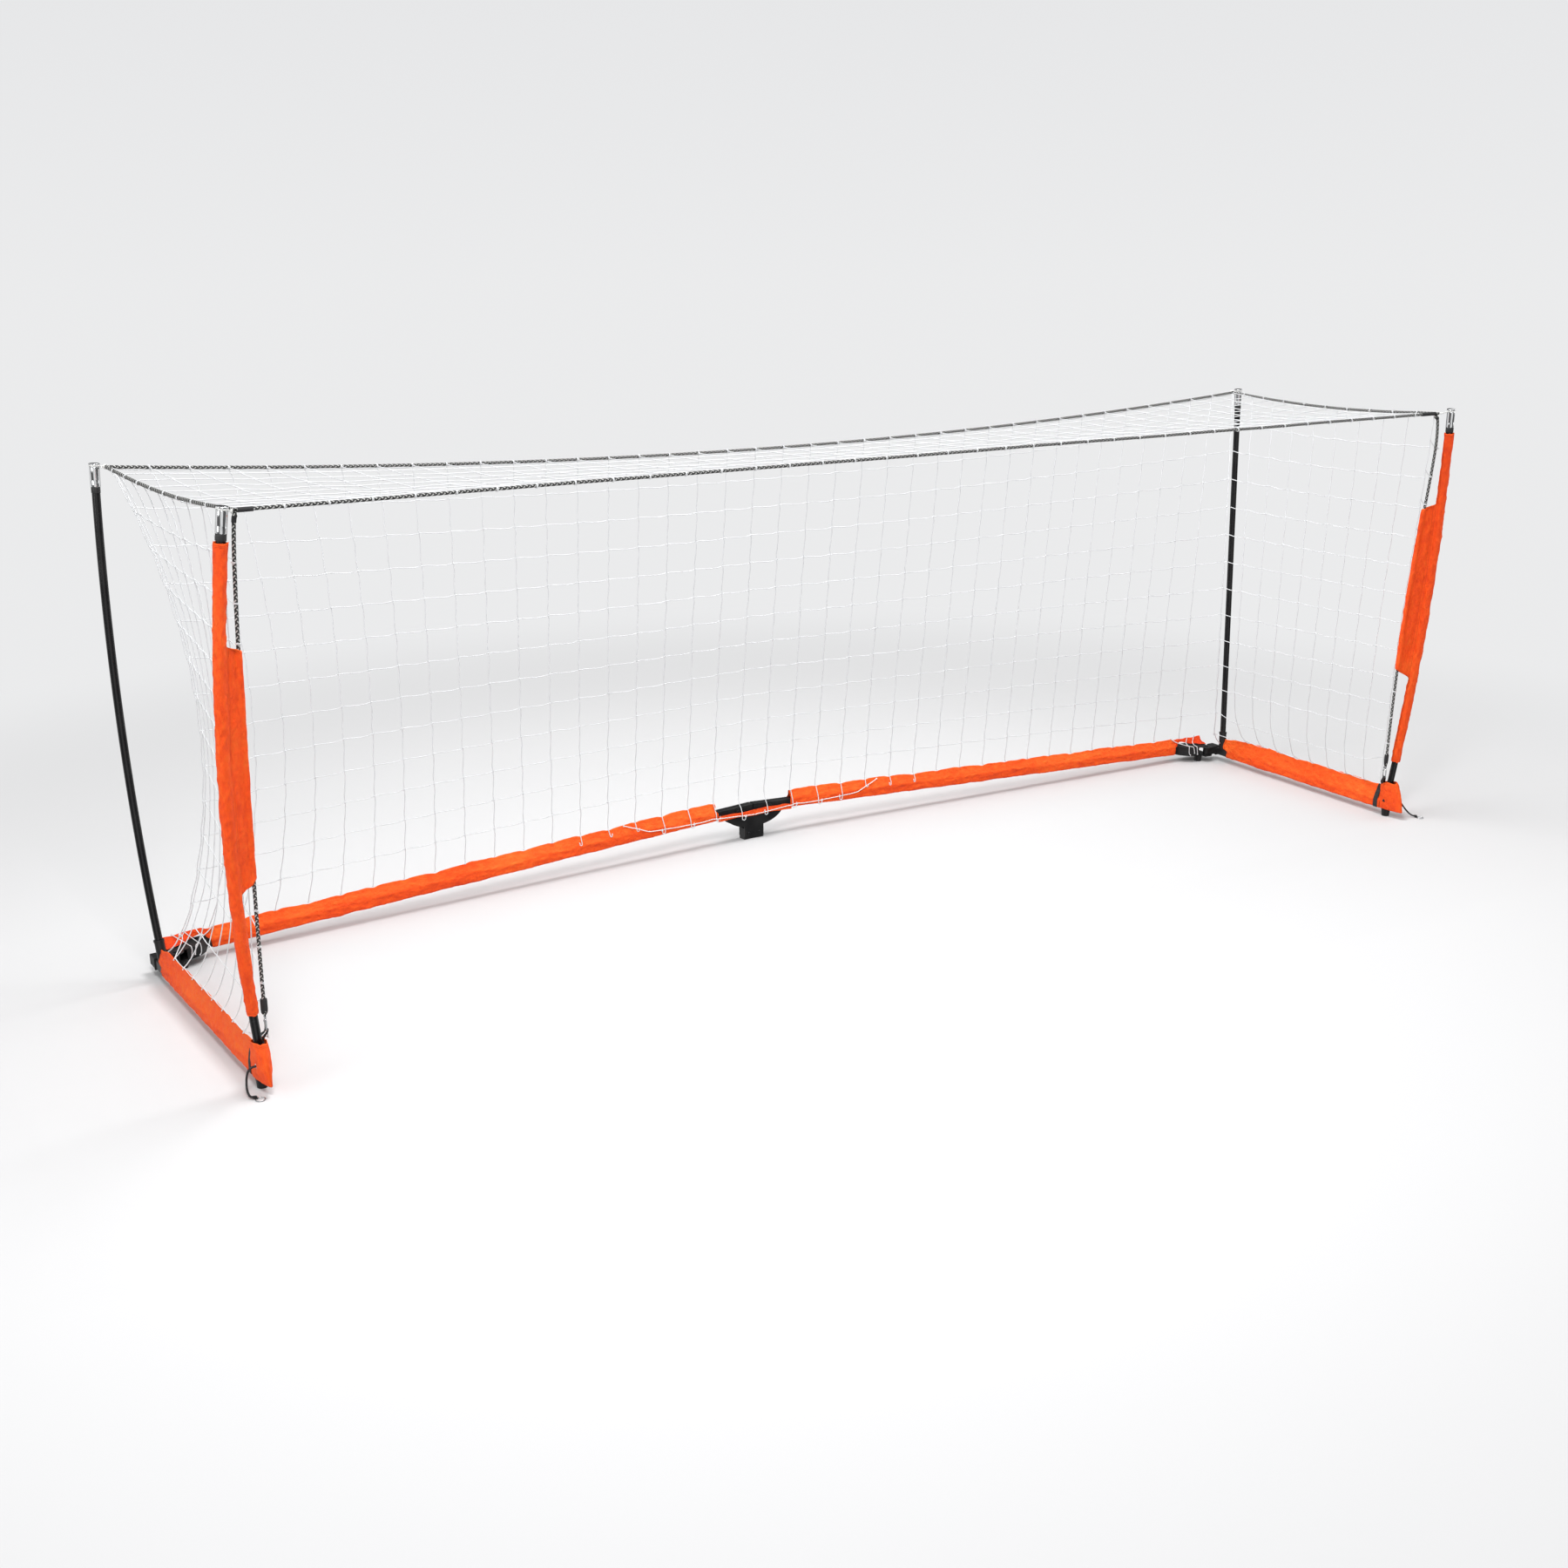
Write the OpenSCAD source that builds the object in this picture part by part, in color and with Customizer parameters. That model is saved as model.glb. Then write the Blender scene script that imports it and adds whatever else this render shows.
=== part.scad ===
// Portable folding goal: hinged steel base, four sprung poles, roped net.
// Built symmetric about x = 0; the mouth faces -Y and the ground is z = 0.

/* [Base frame] */
// Distance between the two bolts of the centre hinge
hub_pitch = 180; // [120:1:260]
// Height of the rear bars at the centre hinge
hub_z = 150; // [125:1:200]
// Length of each rear bar, from hinge bolt to hinge bolt
rear_bar_len = 2707; // [1500:1:3600]
// How far each rear bar turns forward from straight, in degrees
bar_bend = 2.67; // [0:0.01:8]
// Height of the side bars' centre line
side_z = 57; // [50:0.5:80]
// How far the side bars turn in towards the front, in degrees
side_toe = 1.8; // [0:0.1:5]
// Distance along the side bar between its two pole sockets
socket_pitch = 1175; // [700:1:1600]
// Width of the square tube of the rear bars
rear_tube_w = 40; // [32:0.5:46]
// Width of the square tube of the side bars
side_tube_w = 38; // [30:0.5:42]
// Wall of both tubes
tube_wall = 2; // [1.5:0.1:4]
// Outer corner radius of both tubes
tube_corner = 4; // [3:0.5:8]

/* [Centre hinge] */
// Thickness of the hinge plates at the centre and at the corners
plate_t = 4; // [3:0.5:6]
// Half length of the half-moon plates at the centre
hub_plate_a = 165; // [140:1:220]
// Depth of the half-moon plates below the bars' centre line
hub_plate_b = 90; // [60:1:100]
// Width of the centre foot
hub_foot_w = 108; // [80:1:120]
// Height of the centre foot
hub_foot_h = 56; // [40:1:60]
// Distance between the two bolts that hold the centre foot
hub_foot_pitch = 60; // [40:1:80]
// Height of those bolts above the ground
hub_foot_bolt_z = 30; // [18:1:34]
// Gap between the two rear bars' ends at the centre
bar_end_gap = 5; // [2:0.5:12]

// Height of the centre plates' lower edge above the ground
hub_plate_low = 14; // [6:1:26]

/* [Corner hinge] */
// Distance from a rear bar's centre line forward to the corner hinge bolt
corner_offset = 85; // [70:1:120]
// Distance from the corner hinge bolt out to the side bar's centre line
side_offset = 67; // [62:1:90]
// Radius of the half-moon corner plates
corner_plate_r = 105; // [90:1:120]
// Radius of the corner plates round the hinge bolt
corner_ear_r = 34; // [26:1:40]
// Length of the rear bar's end past the hinge bolt's line
bar_past_pivot = 10; // [0:1:20]
// Length of the moulded block on the side bar's rear end
block_len = 70; // [50:1:90]
// How far that block reaches behind the hinge bolt
block_behind = 40; // [30:1:50]
// Radius of the corner and front feet at the ground
foot_r = 18; // [14:0.5:22]
// Radius of the corner and front feet at the top
foot_top_r = 22; // [18:0.5:24]

/* [Bolts] */
// Radius of the hinge bolts
pivot_bolt_r = 5; // [4:0.5:6]
// Radius of the fixing bolts
fixing_bolt_r = 4; // [3:0.5:5]
// Height of a bolt head
head_h = 5; // [4:0.5:7]
// Height of a nut
nut_h = 8; // [5:0.5:10]
// Length of thread past a nut
thread_past = 2; // [0:0.5:4]

/* [Poles] */
// Radius of a pole
pole_r = 15; // [12:0.5:17]
// Wall of a pole socket
socket_wall = 3.7; // [2.5:0.1:6]
// Height of a socket's mouth above the ground
socket_top_z = 164; // [140:1:220]
// Depth that a pole stands in its socket
seat_depth = 80; // [40:1:82]
// Height of the pole caps above the ground
cap_z = 2000; // [1300:1:2500]
// How far a rear pole's cap lies outside its socket
rear_lean_out = 28; // [0:1:80]
// How far a rear pole's cap lies behind its socket
rear_lean_back = 72; // [0:1:160]
// Bend of a rear pole from end to end, in degrees
rear_bend = 9.2; // [2:0.1:16]
// How far a front pole's cap lies in front of its socket
front_lean = 156; // [60:1:240]
// Bend of a front pole from end to end, in degrees
front_bend = 12.6; // [2:0.1:18]
// Length of the metal ferrule on a pole's tip
ferrule_len = 85; // [50:1:140]
// Radius of the ferrule
ferrule_r = 18; // [17.5:0.1:20]
// Radius of the lipped cap on the ferrule
cap_r = 20; // [19:0.5:26]

/* [Ropes and net] */
// Radius of the border rope
rope_r = 6.5; // [4:0.5:9]
// Drop of the rope below the pole caps
rope_drop = 16; // [12:1:60]
// Gap from the front pole's axis to the rope corner, left side
front_tie_left = 36; // [32:1:80]
// Gap from the front pole's axis to the rope corner, right side
front_tie_right = 100; // [32:1:160]
// Gap from a rear pole's axis to the rope corner
rear_tie = 40; // [32:1:90]
// Sag of the rear top rope at its middle
rear_sag = 110; // [0:1:200]
// Sag of the roof net between its ropes
roof_sag = 35; // [0:1:120]
// How far the net's rear corners are drawn in at mid height
corner_pull = 209; // [40:1:260]
// Length of net over which the corners' pull fades
pull_reach = 1700; // [800:10:2400]
// Height of the lower end of each post rope
post_rope_z = 260; // [260:1:500]
// Width of a net strand as modelled
strand_w = 9; // [5:0.5:14]
// Thickness of a net strand as modelled
strand_t = 5; // [3:0.5:8]
// Mesh columns in each half of the back and roof nets
half_columns = 10; // [6:1:10]
// Mesh rows in the back and side nets
net_rows = 6; // [4:1:7]
// Mesh rows in the roof net
roof_rows = 3; // [2:1:4]
// Mesh columns in each side net
side_columns = 4; // [2:1:4]
// Radius of the white cord that laces the net to the rear bars
lacing_r = 2; // [1.5:0.1:3]

/* [Sleeves] */
// Thickness of the orange cloth
cloth_t = 1.2; // [0.8:0.1:2.5]
// Height of a rear bar sleeve's top edge above the bar's centre line
rear_skirt_h = 62; // [40:1:90]
// Height of a side bar sleeve's top edge above the bar's centre line
side_skirt_h = 92; // [60:1:110]
// Distance from the centre hinge to where the rear bar sleeves start
rear_sleeve_start = 205; // [190:1:400]
// Distance from a rear socket to where the side bar sleeve starts
side_sleeve_start = 48; // [32:1:120]
// Reach of the front hoods beyond the front sockets
hood_reach = 78; // [60:1:110]
// Radius of a pole sleeve
pole_sleeve_r = 21; // [18:0.5:26]
// Height of a pole sleeve's lower edge
pole_sleeve_z = 282; // [250:1:400]
// Distance from the pole cap down to a pole sleeve's upper edge
pole_sleeve_drop = 108; // [95:1:300]
// Height of the middle of a pole sleeve's flap
flap_z = 1130; // [700:1:1500]
// Height of a pole sleeve's flap
flap_h = 860; // [200:1:1100]
// How far the flap reaches in from the pole's axis
flap_w = 100; // [30:1:115]

/* [Straps and stakes] */
// Width of the webbing strap
strap_w = 25; // [15:1:35]
// Thickness of the webbing strap
strap_t = 1.8; // [1:0.1:3]
// Distance from the front socket back to the webbing strap
strap_back = 72; // [50:1:140]
// Radius of the wire of the snap hook
hook_wire_r = 2.6; // [1.8:0.1:3.2]
// Radius of the black stake cord
stake_cord_r = 4; // [2.5:0.1:4.5]
// Radius of a stake ring, to the middle of its wire
ring_r = 16; // [12:0.5:24]
// Radius of the ring's wire
ring_wire_r = 2; // [1:0.1:3]

/* [Hidden] */
$fn = 48;

fit = 0.3;          // clearance round soft pieces and between parts that move
run_fit = 0.08;     // radial clearance of a hinge bolt in its hole
eps = 0.01;
far = 4000;

black = [0.07, 0.07, 0.075];
steel = [0.75, 0.76, 0.78];
orange = [1.0, 0.3, 0.08];
white = [0.95, 0.95, 0.94];

function unit(v) = v / norm(v);
function mix(a, b, t) = a * (1 - t) + b * t;
function clamp01(t) = max(0, min(1, t));

// Matrix of a frame at o whose Z lies along z and whose X is as near x as can be
function frame_at(o, z, x) =
  let (ez = unit(z), ex = unit(x - (x * ez) * ez), ey = cross(ez, ex))
  [[ex[0], ey[0], ez[0], o[0]], [ex[1], ey[1], ez[1], o[1]], [ex[2], ey[2], ez[2], o[2]], [0, 0, 0, 1]];

// ---- base frame: places and directions, right side ----
bar_tilt = asin((hub_z - side_z) / rear_bar_len);
hub_pivot = [hub_pitch / 2, -hub_pitch / 2 * tan(bar_bend), hub_z];
// A point given in the rear bar's own frame: x along the bar, y across it, z up from it
function bar_point(x, y, z) = hub_pivot + [
  cos(bar_bend) * (cos(bar_tilt) * x + sin(bar_tilt) * z) + sin(bar_bend) * y,
  -sin(bar_bend) * (cos(bar_tilt) * x + sin(bar_tilt) * z) + cos(bar_bend) * y,
  -sin(bar_tilt) * x + cos(bar_tilt) * z];
corner_pivot = bar_point(rear_bar_len, -corner_offset, 0);
side_origin = [corner_pivot[0] + side_offset, corner_pivot[1], side_z];
// A point given in the side bar's own frame: y along the bar, towards the back
function side_point(x, y, z) = side_origin + [
  cos(side_toe) * x + sin(side_toe) * y, -sin(side_toe) * x + cos(side_toe) * y, z];
rear_socket_y = -(corner_ear_r + ferrule_r);
front_socket_y = rear_socket_y - socket_pitch;
socket_shift = 3;   // the slanted sockets' mouths lie this far outside the bar's centre line
tube_top = side_tube_w / 2;

// ---- poles: mouth of the socket, cap, bow direction ----
rear_mouth = side_point(socket_shift, rear_socket_y, socket_top_z - side_z);
front_mouth = side_point(socket_shift, front_socket_y, socket_top_z - side_z);
rear_cap = [rear_mouth[0] + rear_lean_out, rear_mouth[1] + rear_lean_back, cap_z];
front_cap = [front_mouth[0] - socket_shift, front_mouth[1] - front_lean, cap_z];
rear_bow_dir = [1, 1, 0];
front_bow_dir = [1, 0, 0];
function bow_radius(m, c, bend) = norm(c - m) / (2 * sin(bend / 2));
function chord_x(m, c, d) = let (ez = unit(c - m)) unit(d - (d * ez) * ez);
// Point and direction on a bowed pole, t from 0 at the mouth to 1 at the cap
function pole_point(m, c, d, bend, t) =
  let (r = bow_radius(m, c, bend), a = bend * (t - 0.5), half = norm(c - m) / 2)
  m + unit(c - m) * (half + r * sin(a)) + chord_x(m, c, d) * r * (cos(a) - cos(bend / 2));
function pole_dir(m, c, d, bend, t) =
  let (a = bend * (t - 0.5)) unit(c - m) * cos(a) - chord_x(m, c, d) * sin(a);
function pole_matrix(m, c, d, bend, t) =
  frame_at(pole_point(m, c, d, bend, t), pole_dir(m, c, d, bend, t), chord_x(m, c, d));

// ---- origin: middle of the footprint, from the front cap to the foot bolts' threads ----
plate_out = rear_tube_w / 2 + fit + plate_t;
front_cap_dir = pole_dir(front_mouth, front_cap, front_bow_dir, front_bend, 1);
front_edge = front_cap[1] - cap_r * sqrt(1 - pow(front_cap_dir[1], 2));
back_edge = (plate_out + nut_h + thread_past) * cos(bar_bend) - hub_foot_pitch / 2 * sin(bar_bend)
          + fixing_bolt_r * sin(bar_bend);
origin_y = (front_edge + back_edge) / 2;

module place() translate([0, -origin_y, 0]) children();
module on_side(s) place() if (s < 0) mirror([1, 0, 0]) children(); else children();
module bar_frame() translate(hub_pivot) rotate([0, bar_tilt, -bar_bend]) children();
module side_frame() translate(side_origin) rotate([0, 0, -side_toe]) children();

// Square with round corners
module round_square(w, r) {
  square([w - 2 * r, w], center = true);
  square([w, w - 2 * r], center = true);
  for (x = [-1, 1], y = [-1, 1]) translate([x, y] * (w / 2 - r)) circle(r);
}

// Square tube along +Y from y0 to y1
module square_tube(w, y0, y1) translate([0, y1, 0]) rotate([90, 0, 0])
  linear_extrude(y1 - y0) difference() {
    round_square(w, tube_corner);
    round_square(w - 2 * tube_wall, tube_corner - tube_wall);
  }

// Bolt along Z: domed head under z = 0, shank and thread above
module bolt(r, grip) {
  translate([0, 0, -head_h]) cylinder(r1 = r * 1.2, r2 = r * 1.8, h = head_h * 0.4);
  translate([0, 0, -head_h * 0.6]) cylinder(r = r * 1.8, h = head_h * 0.6);
  cylinder(r = r, h = grip + nut_h + thread_past);
}
module nut(r) difference() {
  cylinder(r = r * 1.9, h = nut_h, $fn = 6);
  translate([0, 0, -1]) cylinder(r = r + run_fit, h = nut_h + 2);
}

// ---- centre hinge ----
// Half of the half-moon outline, seen from the front: flat top, round bottom
module hub_half_moon() {
  translate([hub_pitch / 2 / cos(bar_bend), 0]) circle(pivot_bolt_r + 8);
  polygon(concat([[-3, -hub_plate_b], [-3, -3], [hub_plate_a, -3]],
    [for (a = [3:7.25:90]) [hub_plate_a * cos(a), -hub_plate_b * sin(a)]]));
  translate([-3, hub_plate_low - hub_z])
    square([hub_foot_w / 2 + 3, hub_z - hub_plate_low - hub_plate_b / 2]);
}
module hub_holes() {
  translate([hub_pitch / 2 / cos(bar_bend), 0, 0])
    cylinder(r = pivot_bolt_r + run_fit, h = 4 * plate_out, center = true);
  translate([hub_foot_pitch / 2, hub_foot_bolt_z - hub_z, 0])
    cylinder(r = fixing_bolt_r + run_fit, h = 4 * plate_out, center = true);
}
// Stands a hub outline up, facing front, at a distance y behind the bars' centre line
module hub_wing(y) translate([0, 0, hub_z]) rotate([0, 0, -bar_bend]) translate([0, y, 0])
  rotate([90, 0, 0]) children();
// Keeps what lies at x above 0
module right_half() intersection() {
  children();
  translate([0, -far, -far]) cube([far, 2 * far, 2 * far]);
}
module hub_plate(y) color(black) place() difference() {
  for (s = [0, 1]) mirror([s, 0, 0]) right_half() hub_wing(y) linear_extrude(plate_t) hub_half_moon();
  for (s = [0, 1]) mirror([s, 0, 0]) hub_wing(0) hub_holes();
}
module hub_front_plate() hub_plate(-plate_out + plate_t);
module hub_rear_plate() hub_plate(plate_out);
module hub_foot() color(black) place() difference() {
  for (s = [0, 1]) mirror([s, 0, 0]) right_half() rotate([0, 0, -bar_bend])
    translate([-3, -plate_out + plate_t, 0])
      cube([hub_foot_w / 2 + 3, 2 * (plate_out - plate_t), hub_foot_h]);
  for (s = [0, 1]) mirror([s, 0, 0]) hub_wing(0) translate([hub_foot_pitch / 2, hub_foot_bolt_z - hub_z, 0])
    cylinder(r = fixing_bolt_r + run_fit, h = 4 * plate_out, center = true);
}
module hub_bolt_places(y) for (s = [0, 1]) mirror([s, 0, 0]) hub_wing(y) {
  translate([hub_pitch / 2 / cos(bar_bend), 0, 0]) rotate([180, 0, 0]) children(0);
  translate([hub_foot_pitch / 2, hub_foot_bolt_z - hub_z, 0]) rotate([180, 0, 0]) children(1);
}
module hub_bolts() color(steel) place() hub_bolt_places(-plate_out) {
  bolt(pivot_bolt_r, 2 * plate_out);
  bolt(fixing_bolt_r, 2 * plate_out);
}
module hub_nuts() color(steel) place() hub_bolt_places(plate_out) {
  nut(pivot_bolt_r);
  nut(fixing_bolt_r);
}
// Loose strip of cloth that crosses the hinge in front of the plates
strip_y = plate_out + head_h + fit;
module hub_cloth_strip() color(orange) place() for (s = [0, 1]) mirror([s, 0, 0])
  hub_wing(-strip_y) linear_extrude(cloth_t) translate([-3, -31]) square([rear_sleeve_start - fit + 3, 29]);

// ---- rear bars and corner hinges, in the rear bar's frame ----
corner_plate_z = rear_tube_w / 2 + fit;
corner_centre = [rear_bar_len - 50, rear_tube_w / 2 + 2];
corner_fix_x = [rear_bar_len - 110, rear_bar_len - 30];
corner_foot_at = [rear_bar_len - 31, -60];
module rear_tube(s) color(black) on_side(s) bar_frame() difference() {
  translate([-(hub_pitch / 2 / cos(bar_bend) - bar_end_gap / 2), 0, 0]) rotate([0, 0, -90])
    square_tube(rear_tube_w, 0,
      rear_bar_len + bar_past_pivot + hub_pitch / 2 / cos(bar_bend) - bar_end_gap / 2);
  rotate([90, 0, 0]) cylinder(r = pivot_bolt_r + run_fit, h = 2 * rear_tube_w, center = true);
  for (x = corner_fix_x) translate([x, 0, 0])
    cylinder(r = fixing_bolt_r + run_fit, h = 2 * rear_tube_w, center = true);
}
// Half-moon with an ear round the hinge bolt
module corner_outline() {
  intersection() {
    translate(corner_centre) circle(corner_plate_r, $fn = 96);
    translate([corner_centre[0] - 2 * corner_plate_r, corner_centre[1] - 2 * corner_plate_r])
      square([2 * corner_plate_r + 80, 2 * corner_plate_r]);
  }
  translate([rear_bar_len, -corner_offset]) circle(corner_ear_r);
}
module corner_holes() {
  translate([rear_bar_len, -corner_offset]) circle(pivot_bolt_r + run_fit);
  for (x = corner_fix_x) translate([x, 0]) circle(fixing_bolt_r + run_fit);
}
module corner_top_plate(s) color(black) on_side(s) bar_frame()
  translate([0, 0, corner_plate_z]) linear_extrude(plate_t) difference() {
    corner_outline();
    corner_holes();
  }
// The bottom plate has a rim round its front edge, up to the top plate
module corner_bottom_plate(s) color(black) on_side(s) bar_frame() {
  translate([0, 0, -corner_plate_z - plate_t]) linear_extrude(plate_t) difference() {
    corner_outline();
    corner_holes();
  }
  translate([0, 0, -corner_plate_z]) linear_extrude(2 * corner_plate_z) difference() {
    intersection() {
      translate(corner_centre) circle(corner_plate_r, $fn = 96);
      translate([corner_centre[0] - 2 * corner_plate_r, corner_centre[1] - 2 * corner_plate_r])
        square([2 * corner_plate_r + 2, 2 * corner_plate_r - rear_tube_w - 4]);
    }
    translate(corner_centre) circle(corner_plate_r - plate_t, $fn = 96);
    translate([rear_bar_len, -corner_offset]) circle(corner_ear_r + 6);
  }
}
// Ground plane cut for feet that hang from the tilted corner plate
module above_ground() translate([-far, -far, 0]) cube([2 * far, 2 * far, far]);
module corner_foot(s) color(black) on_side(s) intersection() {
  above_ground();
  bar_frame() translate([corner_foot_at[0], corner_foot_at[1], -corner_plate_z - plate_t - 2 * side_z])
    cylinder(r1 = foot_r - (foot_top_r - foot_r), r2 = foot_top_r, h = 2 * side_z);
}
module corner_bolt_places() bar_frame() {
  translate([rear_bar_len, -corner_offset, 0]) children(0);
  for (x = corner_fix_x) translate([x, 0, 0]) children(1);
}
corner_grip = 2 * (corner_plate_z + plate_t);
module corner_bolts(s) color(steel) on_side(s) corner_bolt_places() {
  corner_bolt(pivot_bolt_r);
  corner_bolt(fixing_bolt_r);
}
// Bolt with its head on the top plate and its nut run on under the bottom plate
module corner_bolt(r) {
  translate([0, 0, corner_grip / 2]) rotate([180, 0, 0]) bolt(r, corner_grip);
  translate([0, 0, -corner_grip / 2 - nut_h]) cylinder(r = r * 1.9, h = nut_h, $fn = 6);
}

// ---- cloth over the bars ----
// Drop-shaped section: wraps a square bar of width w and rises to an edge at height h
module drop(w, h, t) polygon([
  [-w / 2 + 2 - t * 0.4, -w / 2 - t], [w / 2 - 2 + t * 0.4, -w / 2 - t], [w / 2 + t, -w / 2 + 2 - t * 0.4],
  [w / 2 + t, w / 2 - 2], [w * 0.3 + t, mix(w / 2, h, 0.35)], [w * 0.12 + t, mix(w / 2, h, 0.7)],
  [t, h], [-t, h],
  [-w * 0.12 - t, mix(w / 2, h, 0.7)], [-w * 0.3 - t, mix(w / 2, h, 0.35)],
  [-w / 2 - t, w / 2 - 2], [-w / 2 - t, -w / 2 + 2 - t * 0.4]]);
module bar_cloth(w, h, y0, y1) translate([0, y1, 0]) rotate([90, 0, 0])
  linear_extrude(y1 - y0) difference() {
  drop(w + 2 * fit, h, cloth_t);
  drop(w + 2 * fit, h - 2 * cloth_t, eps);
}
rear_sleeve_end = rear_bar_len - 50 - corner_plate_r - 3;
flap_low = corner_plate_z + plate_t + head_h + 3 * fit;
// Padded sleeve; its upper edge runs on over the corner plates as a flap
module rear_sleeve(s) color(orange) on_side(s) bar_frame() {
  rotate([0, 0, -90])
    bar_cloth(rear_tube_w, rear_skirt_h, rear_sleeve_start - hub_pitch / 2, rear_sleeve_end);
  translate([rear_sleeve_end - 4, -cloth_t, flap_low])
    cube([rear_bar_len - rear_sleeve_end, 2 * cloth_t, rear_skirt_h - flap_low]);
}

// ---- side bars, in the side bar's frame ----
side_tube_front = front_socket_y - 28;
module side_tube(s) color(black) on_side(s) side_frame()
  square_tube(side_tube_w, side_tube_front, block_behind - plate_t);
block_w = side_tube_w + 2 * fit + 5;
lug_w = 2 * (pivot_bolt_r + 11);
// Moulded block: caps the tube's rear end and carries the hinge lug
module hinge_block(s) color(black) on_side(s) difference() {
  union() {
    side_frame() {
      translate([0, block_behind, 0]) rotate([90, 0, 0])
        linear_extrude(block_len) round_square(block_w, tube_corner);
      translate([0, block_behind - block_len + 4, 0]) rotate([90, 0, 0])
        linear_extrude(4) round_square(block_w + 5, tube_corner);
    }
    bar_frame() translate([rear_bar_len, -corner_offset, 0]) {
      cylinder(r = lug_w / 2, h = 2 * corner_plate_z - 1, center = true);
      translate([0, -lug_w / 2, -corner_plate_z + 0.5])
        cube([side_offset - side_tube_w / 2, lug_w, 2 * corner_plate_z - 1]);
    }
  }
  side_frame() translate([0, block_behind - plate_t, 0]) rotate([90, 0, 0])
    linear_extrude(block_len) round_square(side_tube_w + 2 * eps, tube_corner);
  bar_frame() translate([rear_bar_len, -corner_offset, 0])
    cylinder(r = pivot_bolt_r + run_fit, h = 4 * corner_plate_z, center = true);
}
// Socket welded on the bar's top, slanted along its pole
function seat_t(m, c, bend) = -seat_depth / 2 / (bow_radius(m, c, bend) * bend * PI / 180);
module socket_place(m, c, d, bend)
  multmatrix(pole_matrix(m, c, d, bend, seat_t(m, c, bend))) translate([0, 0, seat_depth / 2]) children();
module pole_socket(m, c, d, bend) difference() {
  socket_place(m, c, d, bend) difference() {
    union() {
      translate([0, 0, -socket_top_z]) cylinder(r = pole_r + fit + socket_wall, h = socket_top_z);
      translate([0, 0, -8]) cylinder(r = pole_r + fit + socket_wall + 1.6, h = 8);
    }
    translate([0, 0, -seat_depth]) cylinder(r = pole_r + fit, h = seat_depth + 1);
  }
  translate([-far, -far, -far]) cube([2 * far, 2 * far, far + side_z + tube_top]);
}
module pole_sockets(s) color(black) on_side(s) {
  pole_socket(rear_mouth, rear_cap, rear_bow_dir, rear_bend);
  pole_socket(front_mouth, front_cap, front_bow_dir, front_bend);
}
module front_foot(s) color(black) on_side(s) translate([0, 0, 0]) side_frame()
  translate([0, front_socket_y + 9, -side_z]) cylinder(r1 = foot_r, r2 = foot_top_r, h = side_z - tube_top);
side_sleeve_end = front_socket_y + strap_back - strap_w / 2 - 2;
hood_y = front_socket_y + 34;
module side_sleeve(s) color(orange) on_side(s) side_frame()
  bar_cloth(side_tube_w, side_skirt_h, hood_y + fit, rear_socket_y - side_sleeve_start + 20);

// ---- poles ----
// Pole: one bow from the socket's floor to the cap
module bowed_pole(m, c, d, bend) {
  r = bow_radius(m, c, bend);
  turn = 180 / PI / r;
  color(black) multmatrix(pole_matrix(m, c, d, bend, 0)) translate([-r, 0, 0]) rotate([90, 0, 0])
    rotate([0, 0, -(seat_depth - fit) * turn])
      rotate_extrude(angle = bend + (seat_depth - cap_neck - 2 * fit) * turn, $fn = 720)
      translate([r, 0]) circle(pole_r, $fn = 48);
  color(steel) tip_place(m, c, d, bend) ferrule();
}
// Moves to a pole's cap, square to the pole at the ferrule's middle
module tip_place(m, c, d, bend)
  multmatrix(pole_matrix(m, c, d, bend, 1 - ferrule_len / 2 / (bow_radius(m, c, bend) * bend * PI / 180)))
    translate([0, 0, ferrule_len / 2]) children();
cap_neck = 16;
// Metal ferrule with a grooved, lipped cap
module ferrule() rotate_extrude() polygon([
  [pole_r + fit, -ferrule_len], [ferrule_r, -ferrule_len], [ferrule_r, -14], [ferrule_r - 2.2, -12],
  [ferrule_r - 2.2, -6], [cap_r, -4.5], [cap_r, -1], [cap_r - 1, 0],
    [0, 0], [0, -cap_neck], [pole_r + fit, -cap_neck]]);
module rear_pole(s) on_side(s) bowed_pole(rear_mouth, rear_cap, rear_bow_dir, rear_bend);
module front_pole(s) on_side(s) bowed_pole(front_mouth, front_cap, front_bow_dir, front_bend);

// ---- soft forms ----
// Solid swept along path p: section points q are taken across ref and square to it.
// sizes scales the section's first number at each path point.
module sweep(p, q, ref, closed = false, sizes = []) {
  m = len(p); n = len(q); last = m - 1;
  dirs = [for (i = [0:last]) closed ? unit(p[(i + 1) % m] - p[(i + last) % m])
    : unit(p[min(i + 1, last)] - p[max(i - 1, 0)])];
  pts = [for (i = [0:last]) let (side = unit(ref - (ref * dirs[i]) * dirs[i]), up = cross(dirs[i], side),
    k = len(sizes) > 0 ? sizes[i] : 1) for (s = q) p[i] + s[0] * k * side + s[1] * up];
  polyhedron(pts, concat(
    [for (i = [0:closed ? last : last - 1], k = [0:n - 1]) let (j = (i + 1) % m, l = (k + 1) % n)
      each [[i * n + k, j * n + k, j * n + l], [i * n + k, j * n + l, i * n + l]]],
    closed ? [] : [for (k = [1:n - 2]) [0, k, k + 1]],
    closed ? [] : [for (k = [1:n - 2]) [last * n, last * n + k + 1, last * n + k]]));
}
function ring_section(r, n = 8) = [for (k = [0:n - 1]) r * [cos(k * 360 / n), sin(k * 360 / n)]];
function band_section(w, t) = [[-w, -t] / 2, [w, -t] / 2, [w, t] / 2, [-w, t] / 2];

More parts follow.
